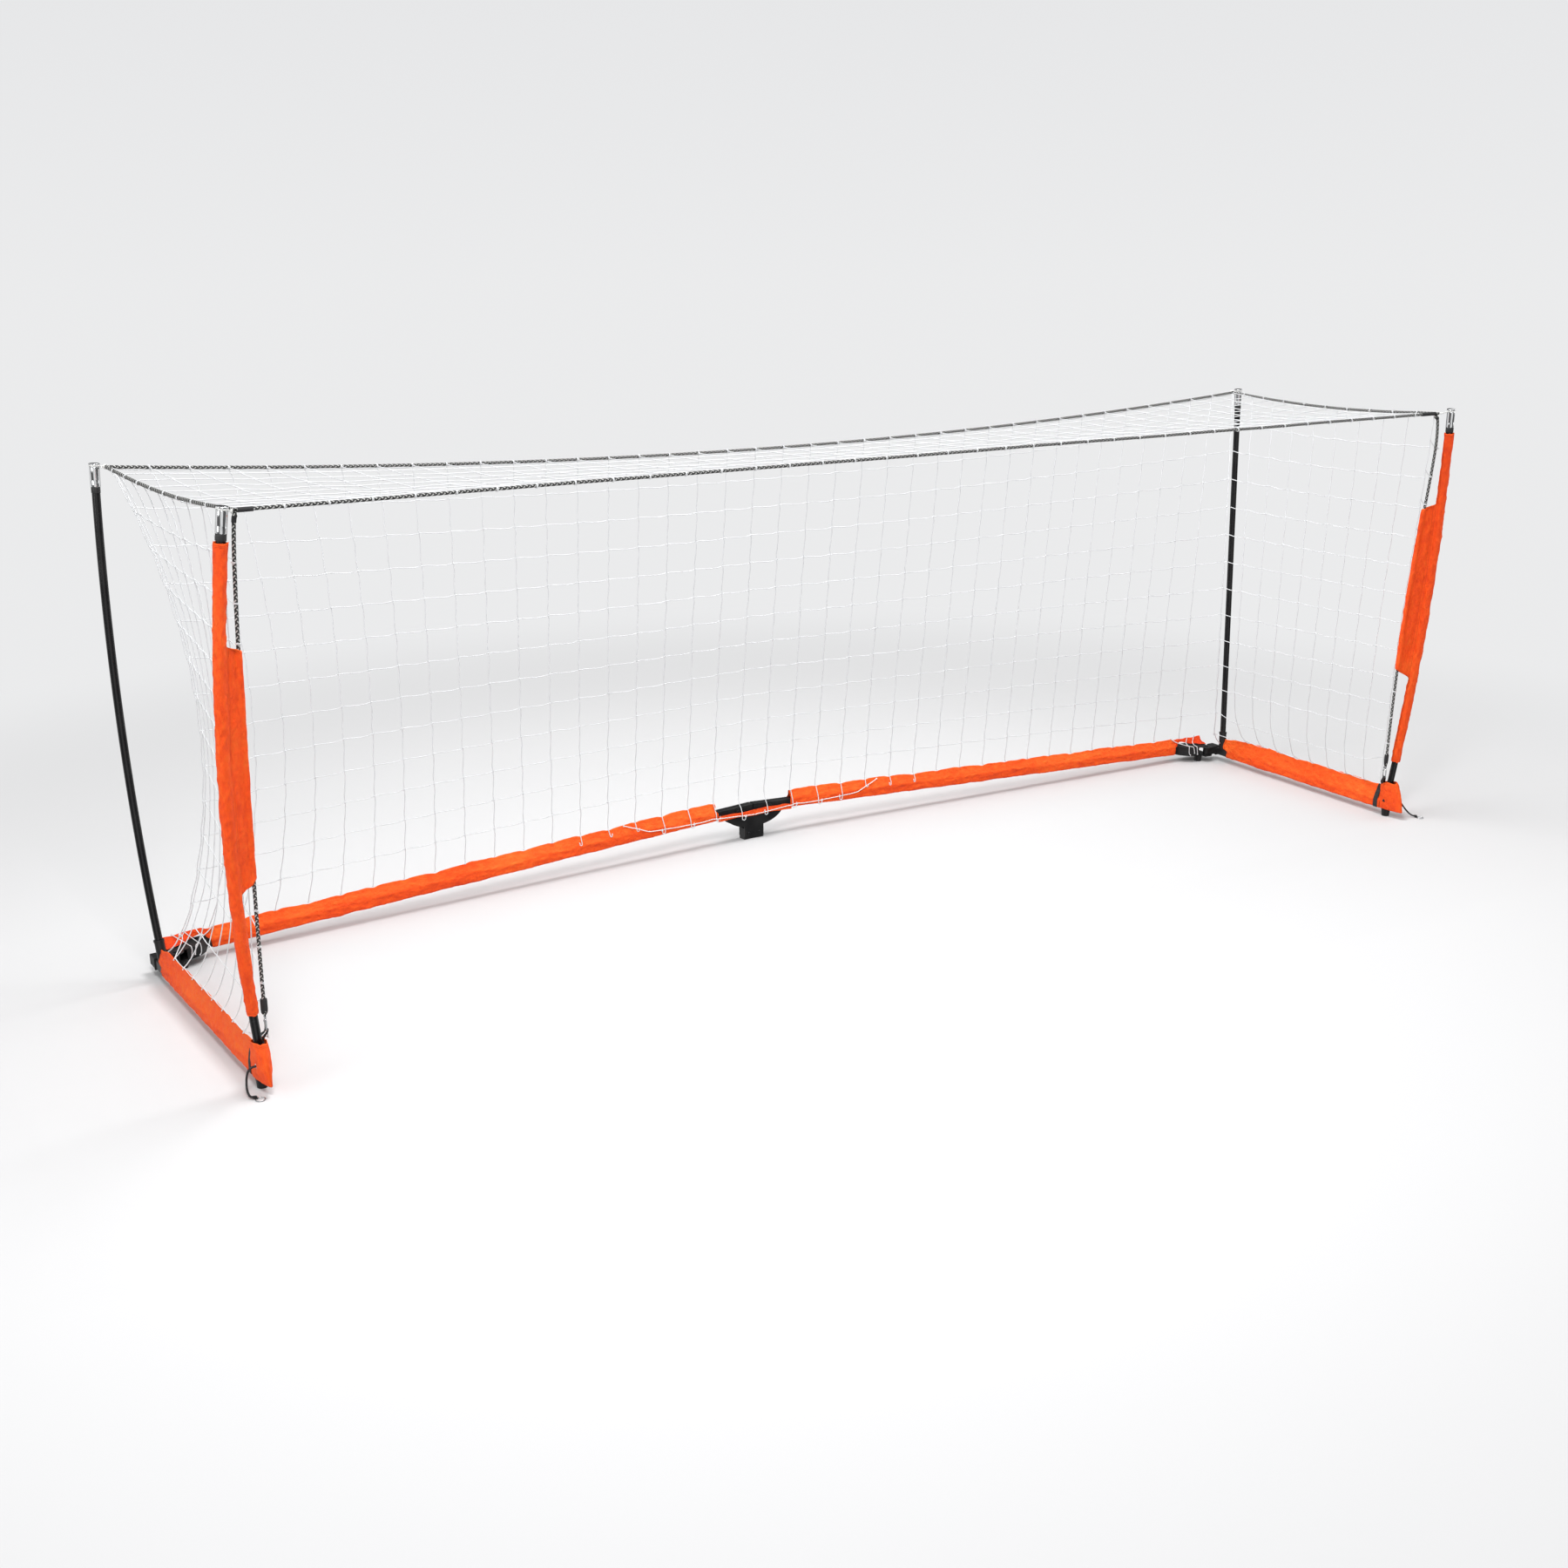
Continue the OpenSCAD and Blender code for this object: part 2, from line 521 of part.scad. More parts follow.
// Sheet with a square opening in every mesh: g[i][j] are grid points, d[i][j] their normals
module mesh_sheet(g, d) {
  nu = len(g) - 1; nv = len(g[0]) - 1;
  count = (nu + 1) * (nv + 1);
  function at(i, j) = i * (nv + 1) + j;
  function hole(i, j, k) = 2 * count + (i * nv + j) * 8 + k;
  grid = [for (s = [1, -1], i = [0:nu], j = [0:nv]) g[i][j] + d[i][j] * s * strand_t / 2];
  holes = [for (i = [0:nu - 1], j = [0:nv - 1])
    let (a = g[i][j], b = g[i + 1][j], c = g[i + 1][j + 1], e = g[i][j + 1],
      fu = strand_w / 2 / norm((b + c - a - e) / 2), fv = strand_w / 2 / norm((c + e - a - b) / 2),
      n0 = unit(d[i][j] + d[i + 1][j] + d[i + 1][j + 1] + d[i][j + 1]))
    for (s = [1, -1], w = [[fu, fv], [1 - fu, fv], [1 - fu, 1 - fv], [fu, 1 - fv]])
      mix(mix(a, b, w[0]), mix(e, c, w[0]), w[1]) + n0 * s * strand_t / 2];
  faces = [for (i = [0:nu - 1], j = [0:nv - 1])
    let (o = [at(i, j), at(i + 1, j), at(i + 1, j + 1), at(i, j + 1)])
    for (k = [0:3]) let (l = (k + 1) % 4) each [
      [o[k], hole(i, j, l), o[l]], [o[k], hole(i, j, k), hole(i, j, l)],
      [o[k] + count, o[l] + count, hole(i, j, 4 + l)], [o[k] + count, hole(i, j, 4 + l), hole(i, j, 4 + k)],
      [hole(i, j, k), hole(i, j, 4 + l), hole(i, j, l)],
        [hole(i, j, k), hole(i, j, 4 + k), hole(i, j, 4 + l)]]];
  rim = concat([for (i = [0:nu]) at(i, 0)], [for (j = [1:nv]) at(nu, j)],
    [for (i = [nu - 1:-1:0]) at(i, nv)], [for (j = [nv - 1:-1:1]) at(0, j)]);
  walls = [for (k = [0:len(rim) - 1]) let (a = rim[k], b = rim[(k + 1) % len(rim)])
    each [[a, b, b + count], [a, b + count, a + count]]];
  polyhedron(concat(grid, holes), concat(faces, walls));
}
function sheet_normals(g, flat_x = false) = let (nu = len(g) - 1, nv = len(g[0]) - 1)
  [for (i = [0:nu]) [for (j = [0:nv]) let (
    n = cross(g[min(i + 1, nu)][j] - g[max(i - 1, 0)][j], g[i][min(j + 1, nv)] - g[i][max(j - 1, 0)]))
    unit(flat_x && i == 0 ? [0, n[1], n[2]] : n)]];

// ---- where the ropes and the net run, right side ----
rope_z = cap_z - rope_drop;
rear_corner = [rear_cap[0] - rear_tie, rear_cap[1], rope_z];
function front_corner(s) = [front_cap[0] - (s < 0 ? front_tie_left : front_tie_right), front_cap[1], rope_z];
function rear_rope_at(x) = [x, rear_corner[1], rope_z - rear_sag * (1 - pow(x / rear_corner[0], 2))];
net_corner = [rear_corner[0] - rope_r - 2, rear_corner[1] - rope_r - 2, rope_z - rope_r - 2];
net_base = [side_origin[0] - 78, rear_mouth[1] - 14, socket_top_z + 6];
function bar_run(x, z) = ((x - hub_pitch / 2) / cos(bar_bend) - sin(bar_tilt) * z) / cos(bar_tilt);
// Rear corner edge of the net at v from 0 (low) to 1 (high)
function corner_edge(v) = mix(net_base, net_corner, v)
  - corner_pull * pow(max(0, sin(180 * v)), 0.8) * [1, 1, 0] * (v <= 0 || v >= 1 ? 0 : 1);
function back_low(x) = x > net_base[0] - 1 ? net_base :
  bar_point(bar_run(x, rear_skirt_h + 2 * fit), 0, rear_skirt_h + 2 * fit);
function back_high(x) = rear_rope_at(x) - [0, 0, rope_r + fit];
function back_point(u, v) = let (x = mix(net_base[0], net_corner[0], v) * u,
    low = back_low(net_base[0] * u), high = back_high(net_corner[0] * u),
    near = clamp01(1 - (1 - u) * net_base[0] / pull_reach),
    pull = mix(net_base, net_corner, v) - corner_edge(v))
  (u >= 1 ? corner_edge(v) : mix(low, [x, high[1], high[2]], v) - pull * near * near);
back_grid = [for (i = [0:half_columns]) [for (j = [0:net_rows]) back_point(i / half_columns, j / net_rows)]];
module net_back() color(white) place() for (s = [0, 1]) mirror([s, 0, 0])
  mesh_sheet(back_grid, sheet_normals(back_grid, true));

// Roof net, from the rear rope to the front rope, sagging between them
function roof_point(u, v) = let (s = u < 0 ? -1 : 1, f = front_corner(s), r = rear_corner,
    rear = rear_rope_at(u * net_corner[0]) - [0, rope_r + fit, 0],
    front = [u * (f[0] - rope_r - 6), f[1] + rope_r + fit, rope_z])
  mix(rear, front, v) - [0, 0, roof_sag * sin(180 * v)];
roof_grid = [for (i = [-half_columns:half_columns])
  [for (j = [0:roof_rows]) roof_point(i / half_columns, j / roof_rows)]];
module net_roof() color(white) place() mesh_sheet(roof_grid, sheet_normals(roof_grid));

module front_top_rope() color(white) place() sweep([for (x = [-1, -0.5, 0, 0.5, 1])
  let (f = front_corner(x)) [x * (f[0] - rope_r - fit), f[1], rope_z]], ring_section(rope_r), [0, 0, 1]);
rear_rope_end = rear_corner[0] - rope_r - 4 * fit;
module rear_top_rope() color(white) place() sweep(concat([rear_rope_at(-rear_rope_end)],
  [for (i = [-half_columns:half_columns])
    rear_rope_at(min(abs(i), half_columns) * sign(i) / half_columns * net_corner[0])],
  [rear_rope_at(rear_rope_end)]), ring_section(rope_r), [0, 0, 1]);

// Border rope of one side: along the top from back to front, then down behind the front pole
post_x = front_mouth[0] - 33;
function post_axis(z) = let (t = (z - socket_top_z) / (cap_z - socket_top_z))
  [post_x, mix(front_mouth[1], front_cap[1], t) + 12 + 34 * sin(180 * clamp01(t)), z];
function border_path(s) = let (f = front_corner(s), r = rear_corner) concat(
  [r + [0, rope_r, 0]], [for (t = [0.25, 0.5, 0.75]) border_top(s, t)],
  [f + [0, 16, 0], f + [0, 4, -4], f + [0, 1, -16]],
  [mix(f, post_at(0.93), 0.35), mix(f, post_at(0.885), 0.8)],
  [for (t = [0.8:-0.133:0.001]) post_at(t)], [post_at(0)]);
function post_at(t) = post_axis(mix(post_rope_z, cap_z, t));
// Border rope's axis along the top at t from 0 (back) to 1 (front)
function border_top(s, t) = mix(rear_corner, front_corner(s) + [0, 16, 0], t) - [0, 0, 24 * sin(180 * t)];
module border_rope(s) color(white) on_side(s) sweep(border_path(s), ring_section(rope_r), [1, 0, 0]);

// Side net, from the rear corner edge to the post rope
side_low_front = [front_mouth[0] - 42, front_mouth[1] + 34, socket_top_z + 6];
function side_edge(v) = let (z = mix(side_low_front[2], rope_z - 60, v), a = post_axis(max(z, post_rope_z)))
  [mix(side_low_front[0], a[0] - 2, clamp01(v * 8)), a[1] + rope_r + strand_t + 4, z];
function side_point_at(s, u, v) = let (r = corner_edge(v) - [strand_t + 1, strand_t + 3, 0],
    r1 = net_corner - [strand_t + 1, strand_t + 3, 0], f = side_edge(v), top = front_corner(s),
    f1 = top + [0, 26, -26], up = u <= 0 ? r1 : u >= 1 ? f1 : border_top(s, u) - [0, 0, rope_r + fit],
    edge = [mix(f[0], min(f[0], top[0]), pow(v, 4)), f[1], f[2]])
  mix(r, edge, u) + pow(v, 3)
    * (up - mix(r1, [min(side_edge(1)[0], top[0]), side_edge(1)[1], side_edge(1)[2]], u));
function side_grid(s) = [for (i = [0:side_columns]) [for (j = [0:net_rows])
  side_point_at(s, i / side_columns, j / net_rows)]];
module net_side(s) color(white) on_side(s) mesh_sheet(side_grid(s), sheet_normals(side_grid(s)));

// White cord laced along both rear bar sleeves, past the centre in front of the cloth strip
lacing_off = rear_tube_w / 2 + fit + cloth_t + fit + lacing_r;
lacing_half = concat([for (x = [0, rear_sleeve_start + 4])
    [x, -(strip_y + cloth_t + 2 * fit + lacing_r) / cos(bar_bend) - x * tan(bar_bend),
      hub_z - 27 + 14 * x / rear_sleeve_start]],
  // along the sleeve's face, then up its slope to the ridge
  [for (q = [[24, -6], [110, -9], [200, -3], [290, 2], [370, 9]])
    bar_point(rear_sleeve_start - hub_pitch / 2 + q[0], -lacing_off, q[1])],
  [for (q = [[400, 1.112, -0.035], [430, 0.814, 0.283], [462, 0.553, 0.552], [500, 0.256, 0.9]])
    bar_point(rear_sleeve_start - hub_pitch / 2 + q[0], -(rear_tube_w / 2 + fit + cloth_t) * q[1],
      mix(rear_tube_w / 2 + fit, rear_skirt_h, q[2]))]);
module net_lacing_cord() color(white) place() sweep(concat(
  [for (i = [len(lacing_half) - 1:-1:1])
    [-lacing_half[i][0], lacing_half[i][1], lacing_half[i][2]]], lacing_half),
  ring_section(lacing_r), [0, 0, 1]);

// Elastic: a ring in the cap's groove and a cord on to the rope's corner
module elastic(m, c, d, bend, corner) {
  tip_place(m, c, d, bend) translate([0, 0, -9])
    rotate_extrude() translate([ferrule_r + fit, 0]) circle(2.2, $fn = 24);
  o = pole_point(m, c, d, bend, 1) - 9 * pole_dir(m, c, d, bend, 1);
  way = unit(corner - o);
  end = corner - way * (rope_r + fit);
  sweep([o + way * (ferrule_r + 0.6), mix(o + way * ferrule_r, end, 0.5), end], ring_section(2), [0, 0, 1]);
}
module elastic_ties(s) color(white) on_side(s) {
  elastic(rear_mouth, rear_cap, rear_bow_dir, rear_bend, rear_corner);
  elastic(front_mouth, front_cap, front_bow_dir, front_bend, front_corner(s) + [0, 4, -4]);
}

// Sleeve over the front pole: a loose tube whose flap reaches in past the post rope's front.
// Each ring has 10 points outside, 2 at the flap's edge and 10 inside.
sleeve_low_t = (pole_sleeve_z - socket_top_z) / (cap_z - socket_top_z);
sleeve_high_t = 1 - pole_sleeve_drop / (cap_z - socket_top_z);
flap_mid_t = (flap_z - socket_top_z) / (cap_z - socket_top_z);
flap_half_t = flap_h / 2 / (cap_z - socket_top_z);
sleeve_rings = [[sleeve_low_t, 0], [mix(sleeve_low_t, flap_mid_t - flap_half_t, 0.5), 0],
  [flap_mid_t - flap_half_t, 0], [flap_mid_t - flap_half_t * 0.94, 1], [flap_mid_t - flap_half_t * 0.33, 1],
  [flap_mid_t + flap_half_t * 0.33, 1], [flap_mid_t + flap_half_t * 0.94, 1],
  [flap_mid_t + flap_half_t, 0], [mix(flap_mid_t + flap_half_t, sleeve_high_t, 0.5), 0], [sleeve_high_t, 0]];
function sleeve_ring(t, out) =
  let (c = pole_point(front_mouth, front_cap, front_bow_dir, front_bend, t),
    ez = pole_dir(front_mouth, front_cap, front_bow_dir, front_bend, t),
    rope = post_axis(c[2]) - c, a = atan2(rope[1], rope[0]) + asin((rope_r + 3) / norm(rope)),
    w = [cos(a), sin(a), 0], ex = unit(w - (w * ez) * ez), ey = cross(ez, ex),
    reach = out > 0 ? flap_w : pole_sleeve_r)
  concat([for (k = [0:9]) let (b = 18 + 36 * k) c + pole_sleeve_r * (cos(b) * ex + sin(b) * ey)],
    [for (y = [-cloth_t, cloth_t]) c + reach * ex + y * ey],
    [for (k = [0:9]) let (b = 18 + 36 * k) c + (pole_sleeve_r - cloth_t) * (cos(b) * ex + sin(b) * ey)]);
module pole_sleeve(s) color(orange) on_side(s) {
  m = len(sleeve_rings);
  pts = [for (q = sleeve_rings) each sleeve_ring(q[0], q[1])];
  cap = concat([for (k = [0:8]) each [[k, k + 1, k + 13], [k, k + 13, k + 12]]],
    [[9, 10, 21], [10, 11, 21], [11, 0, 21], [0, 12, 21]]);
  polyhedron(pts, concat(
    [for (i = [0:m - 2], k = [0:11]) let (a = i * 22 + k, b = i * 22 + (k + 1) % 12)
      each [[a, a + 22, b + 22], [a, b + 22, b]]],
    [for (i = [0:m - 2], k = [0:9]) let (a = i * 22 + 12 + k, b = i * 22 + 12 + (k + 1) % 10)
      each [[a, b + 22, a + 22], [a, b, b + 22]]],
    cap, [for (f = cap) [f[0], f[2], f[1]] + (m - 1) * [22, 22, 22]]));
}

// Cloth hood over the side bar's front end; the socket stands up through it
hood_half = pole_r + fit + socket_wall + 3;
module hood_section(o) polygon([[-hood_half + o, -side_tube_w / 2 - fit - cloth_t + o],
  [hood_half - o, -side_tube_w / 2 - fit - cloth_t + o], [hood_half - o, tube_top + 26],
  [hood_half * 0.5 - o, tube_top + 70], [1.6 - o / 4, 125 - o * 2], [-1.6 + o / 4, 125 - o * 2],
  [-hood_half * 0.5 + o, tube_top + 70], [-hood_half + o, tube_top + 26]]);
module hood_form(o) intersection() {
  translate([0, hood_y + (o > 0 ? 10 : 0), 0]) rotate([90, 0, 0])
    linear_extrude(hood_y - front_socket_y + hood_reach + (o > 0 ? 10 - o : 0)) hood_section(o);
  translate([-100, 0, 0]) rotate([90, 0, 90]) linear_extrude(200) polygon([
    [hood_y + 20, -side_tube_w / 2 - fit - cloth_t + o],
    [front_socket_y - hood_reach + o, -side_tube_w / 2 - fit - cloth_t + o],
    [front_socket_y - hood_reach + 4 + o, 20], [front_socket_y - hood_reach + 30 + o, 122 - o],
    [front_socket_y - 16, 124 - o], [hood_y, side_skirt_h - 10 - o], [hood_y + 20, side_skirt_h - 10 - o]]);
}
module front_hood(s) color(orange) on_side(s) difference() {
  side_frame() difference() {
    hood_form(0);
    hood_form(cloth_t);
    translate([0, front_socket_y + 9, -side_z]) cylinder(r = foot_top_r + 0.5, h = side_z - tube_top + 1);
  }
  intersection() {
    socket_place(front_mouth, front_cap, front_bow_dir, front_bend)
      translate([0, 0, -socket_top_z])
        cylinder(r = pole_r + fit + socket_wall + 1.6 + 0.6, h = socket_top_z + 90);
    translate([-far, -far, side_z + tube_top - 1]) cube([2 * far, 2 * far, far]);
  }
}
eyelet_at = [hood_half, front_socket_y - 14, 34];
module eyelet(s) color(steel) on_side(s) side_frame() translate(eyelet_at) rotate([0, 90, 0]) difference() {
  cylinder(r = 9, h = 2);
  translate([0, 0, -1]) cylinder(r = stake_cord_r + fit, h = 4);
}

// Webbing strap round the side bar, drawn up to a narrow loop that the snap hook holds
strap_y = front_socket_y + strap_back;
hook_at = [post_x, front_mouth[1] + 12, 222];
loop_z = 206.5;
module webbing_strap(s) color(black) on_side(s) {
  h = side_tube_w / 2 + 2 * fit + cloth_t + strap_t / 2;
  k = side_skirt_h;
  base = side_tube_w / 2;
  ring = [for (q = [[h, base - 1, 0], [h, -h + 3, 0], [h - 3, -h, 0], [-h + 3, -h, 0], [-h, -h + 3, 0],
    [-h, base - 1, 0], [-h * 0.66 - 2, mix(base, k, 0.38) + 6, -6],
    [-h * 0.33 - 5, mix(base, k, 0.72) + 7, -12]])
    side_point(q[0], strap_y + q[2], q[1])];
  loop = [for (q = [[-6, -9], [-4, 0], [4, 0], [6, -9]]) [hook_at[0] + q[0], hook_at[1], loop_z + q[1]]];
  back = [for (q = [[6, k + 7, -14], [h * 0.33 + 6, mix(base, k, 0.72) + 7, -12],
    [h * 0.66 + 4, mix(base, k, 0.38) + 6, -6]])
    side_point(q[0], strap_y + q[2], q[1])];
  sweep(concat(ring, loop, back), band_section(1, strap_t), [0, 1, 0], closed = true,
    sizes = concat([for (i = [0:7]) strap_w], [9, 9, 9, 9], [strap_w - 5, strap_w, strap_w]));
}
// Snap hook: eye and bent wire in the YZ plane; the sprung gate closes its open side
module arc_wire(r, a0, a1) rotate([90, 0, 90]) rotate([0, 0, a0])
  rotate_extrude(angle = a1 - a0) translate([r, 0]) circle(hook_wire_r, $fn = 24);
module snap_hook(s) color(steel) on_side(s) translate(hook_at) {
  translate([0, 0, 14]) arc_wire(8, 0, 180);
  translate([0, 0, -14]) arc_wire(8, 180, 360);
  translate([0, -8, -14]) cylinder(r = hook_wire_r, h = 28, $fn = 24);
  translate([0, 8, 12]) cylinder(r = hook_wire_r, h = 2, $fn = 24);
  difference() {
    union() {
      translate([0, 8, 12]) cylinder(r = gate_r + fit + 1.2, h = 1.5, $fn = 24);
      for (x = [-1, 1]) translate([x * (gate_r + fit + 0.5), 8, 0]) {
        translate([-0.5, -2, gate_z]) cube([1, 4, 12.5 - gate_z]);
        translate([0, 0, gate_z]) rotate([0, 90, 0]) cylinder(r = 2, h = 1, center = true, $fn = 24);
      }
    }
    translate([0, 8, gate_z]) rotate([0, 90, 0])
      cylinder(r = pin_r + run_fit, h = 20, center = true, $fn = 24);
  }
  translate([0, 8, -14]) cylinder(r = hook_wire_r, h = 6, $fn = 24);
  translate([0, 0, 28.5]) rotate([0, 90, 0])
    rotate_extrude() translate([6.5, 0]) circle(hook_wire_r, $fn = 24);
}
gate_r = hook_wire_r - 0.4;
gate_z = 12 - gate_r - fit;
pin_r = 1;
module snap_gate(s) color(steel) on_side(s) translate(hook_at + [0, 8, 0]) {
  translate([0, 0, -8 + fit]) cylinder(r = gate_r, h = gate_z + 8 - fit, $fn = 24);
  translate([0, 0, gate_z]) sphere(gate_r, $fn = 24);
  translate([0, 0, gate_z]) rotate([0, 90, 0])
    cylinder(r = pin_r, h = 2 * (gate_r + fit + 1), center = true, $fn = 24);
}

// Free cord from the hood's eyelet to the stake ring on the ground
stake_path_left = [[2839, -664, 91], [2845, -664, 91], [2857, -665, 89], [2868, -669, 81], [2876, -676, 67],
  [2881, -684, 50], [2884, -693, 33], [2884, -703, 19], [2881, -714, 10.5], [2874, -722, 8.4],
  [2861.4, -726.1, 8.4]];
stake_path_right = [[2839, -664, 91], [2845, -664, 91], [2856, -666, 89], [2868, -672, 80], [2876, -682, 64],
  [2882, -694, 47], [2888, -708, 31], [2894, -722, 18], [2902, -738, 10], [2914, -754, 8.4]];
module stake_cord(s) color(black)
  if (s < 0) mirror([1, 0, 0]) sweep(stake_path_left, ring_section(stake_cord_r), [0, 1, 0]);
  else sweep(stake_path_right, ring_section(stake_cord_r), [0, 1, 0]);
function ring_at(s) = s < 0 ? [2853.5, -737, ring_wire_r] : [2923, -764, ring_wire_r];
module stake_ring(s) color(steel) mirror([s < 0 ? 1 : 0, 0, 0]) translate(ring_at(s))
  rotate_extrude() translate([ring_r, 0]) circle(ring_wire_r, $fn = 24);

hub_front_plate();
hub_rear_plate();
hub_foot();
hub_bolts();
hub_nuts();
hub_cloth_strip();
net_back();
net_roof();
front_top_rope();
rear_top_rope();
net_lacing_cord();
rear_tube(-1);  // rear_tube_left
rear_tube(1);  // rear_tube_right
corner_top_plate(-1);  // corner_top_plate_left
corner_top_plate(1);  // corner_top_plate_right
corner_bottom_plate(-1);  // corner_bottom_plate_left
corner_bottom_plate(1);  // corner_bottom_plate_right
corner_foot(-1);  // corner_foot_left
corner_foot(1);  // corner_foot_right
corner_bolts(-1);  // corner_bolts_left
corner_bolts(1);  // corner_bolts_right
rear_sleeve(-1);  // rear_sleeve_left
rear_sleeve(1);  // rear_sleeve_right
side_tube(-1);  // side_tube_left
side_tube(1);  // side_tube_right
hinge_block(-1);  // hinge_block_left
hinge_block(1);  // hinge_block_right
pole_sockets(-1);  // pole_sockets_left
pole_sockets(1);  // pole_sockets_right
front_foot(-1);  // front_foot_left
front_foot(1);  // front_foot_right
side_sleeve(-1);  // side_sleeve_left
side_sleeve(1);  // side_sleeve_right
front_hood(-1);  // front_hood_left
front_hood(1);  // front_hood_right
eyelet(-1);  // eyelet_left
eyelet(1);  // eyelet_right
webbing_strap(-1);  // webbing_strap_left
webbing_strap(1);  // webbing_strap_right
snap_hook(-1);  // snap_hook_left
snap_hook(1);  // snap_hook_right
border_rope(-1);  // border_rope_left
border_rope(1);  // border_rope_right
pole_sleeve(-1);  // pole_sleeve_left
pole_sleeve(1);  // pole_sleeve_right
net_side(-1);  // net_side_left
net_side(1);  // net_side_right
elastic_ties(-1);  // elastic_ties_left
elastic_ties(1);  // elastic_ties_right
stake_cord(-1);  // stake_cord_left
stake_cord(1);  // stake_cord_right
stake_ring(-1);  // stake_ring_left
stake_ring(1);  // stake_ring_right
snap_gate(-1);  // snap_gate_left
snap_gate(1);  // snap_gate_right
front_pole(-1);  // front_pole_left
front_pole(1);  // front_pole_right
rear_pole(-1);  // rear_pole_left
rear_pole(1);  // rear_pole_right
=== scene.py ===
import math
import bpy
import numpy as np
from mathutils import Matrix


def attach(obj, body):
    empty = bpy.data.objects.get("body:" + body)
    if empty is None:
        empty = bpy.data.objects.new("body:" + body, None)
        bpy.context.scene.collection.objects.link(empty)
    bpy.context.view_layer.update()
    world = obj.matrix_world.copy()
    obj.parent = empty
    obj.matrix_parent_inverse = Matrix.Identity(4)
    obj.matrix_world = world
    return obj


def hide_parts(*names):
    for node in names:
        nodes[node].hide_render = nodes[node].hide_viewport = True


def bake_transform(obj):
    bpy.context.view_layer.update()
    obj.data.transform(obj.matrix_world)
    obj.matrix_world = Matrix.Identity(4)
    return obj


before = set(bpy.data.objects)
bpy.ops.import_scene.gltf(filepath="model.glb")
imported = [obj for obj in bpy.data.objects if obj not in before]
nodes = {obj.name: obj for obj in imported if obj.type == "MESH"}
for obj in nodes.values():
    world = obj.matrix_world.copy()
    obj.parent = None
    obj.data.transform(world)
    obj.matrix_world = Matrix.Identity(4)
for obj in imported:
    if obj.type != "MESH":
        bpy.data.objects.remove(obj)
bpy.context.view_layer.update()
rng = np.random.default_rng(11)

# The camera stands in front of the goal's left end, looking right and slightly down.
camera = {"place": (-4.3436, -6.45465, 2.7661), "yaw": -0.5588, "pitch": 0.2879, "roll": -0.0064, "lens": 42.25}
yaw, pitch, roll = camera["yaw"], camera["pitch"], camera["roll"]
ahead = np.array([-math.sin(yaw) * math.cos(pitch), math.cos(yaw) * math.cos(pitch), -math.sin(pitch)])
level = np.array([math.cos(yaw), math.sin(yaw), 0.0])
upward = np.cross(level, ahead)
rightward = math.cos(roll) * level + math.sin(roll) * upward
upward = -math.sin(roll) * level + math.cos(roll) * upward
lensData = bpy.data.cameras.new("view")
lensData.lens = camera["lens"]
lensData.sensor_width = 36
lensData.clip_end = 200
viewer = bpy.data.objects.new("view", lensData)
bpy.context.scene.collection.objects.link(viewer)
turn = np.eye(4)
turn[:3, 0], turn[:3, 1], turn[:3, 2], turn[:3, 3] = rightward, upward, -ahead, camera["place"]
viewer.matrix_world = Matrix([list(r) for r in turn])
bpy.context.scene.camera = viewer


# A vector over its length
def unit(v):
    v = np.asarray(v, float)
    return v / np.maximum(np.linalg.norm(v, axis=-1, keepdims=True), 1e-12)


# a at t = 0, b at t = 1
def mix(a, b, t):
    return a * (1 - t) + b * t


# 3 t squared less 2 t cubed, between 0 and 1
def ease(t):
    t = np.clip(t, 0, 1)
    return t * t * (3 - 2 * t)


# Any mix of numbers and arrays as arrays of one shape
def arrays(*values):
    return np.broadcast_arrays(*[np.asarray(v, float) for v in values])


# Distance run along a row of points, from 0
def runAlong(points):
    return np.concatenate([[0], np.cumsum(np.linalg.norm(np.diff(points, axis=0), axis=1))])


# Equal angles round a circle
def ringAngles(count):
    return np.arange(count) * 2 * math.pi / count


noiseTable = rng.random((96, 96)) * 2 - 1


# Smooth noise from -1 to 1: table values at whole numbers, eased between
def noise(x, y, octaves=1):
    x, y = arrays(x, y)
    total, gain = np.zeros(x.shape), 1.0
    for k in range(octaves):
        xi, yi = np.floor(x).astype(int), np.floor(y).astype(int)
        fx, fy = ease(x - xi), ease(y - yi)
        a, b = noiseTable[xi % 96, yi % 96], noiseTable[(xi + 1) % 96, yi % 96]
        c, d = noiseTable[xi % 96, (yi + 1) % 96], noiseTable[(xi + 1) % 96, (yi + 1) % 96]
        total = total + gain * mix(mix(a, b, fx), mix(c, d, fx), fy)
        x, y, gain = x * 2.03 + 17.3, y * 2.03 + 5.7, gain * 0.5
    return total


# Sharp folds from 0 to 1: high where slanted noise crosses zero
def folds(x, y, seed):
    a = np.clip(1 - 1.9 * np.abs(noise(x * 15 + y * 5 + seed, y * 4 - x * 5 + seed * 1.7)), 0, 1) ** 2.2
    b = np.clip(1 - 1.9 * np.abs(noise(x * 27 - y * 8 + seed * 2, y * 7 + x * 6 - seed)), 0, 1) ** 2.6
    return 0.62 * a + 0.38 * b


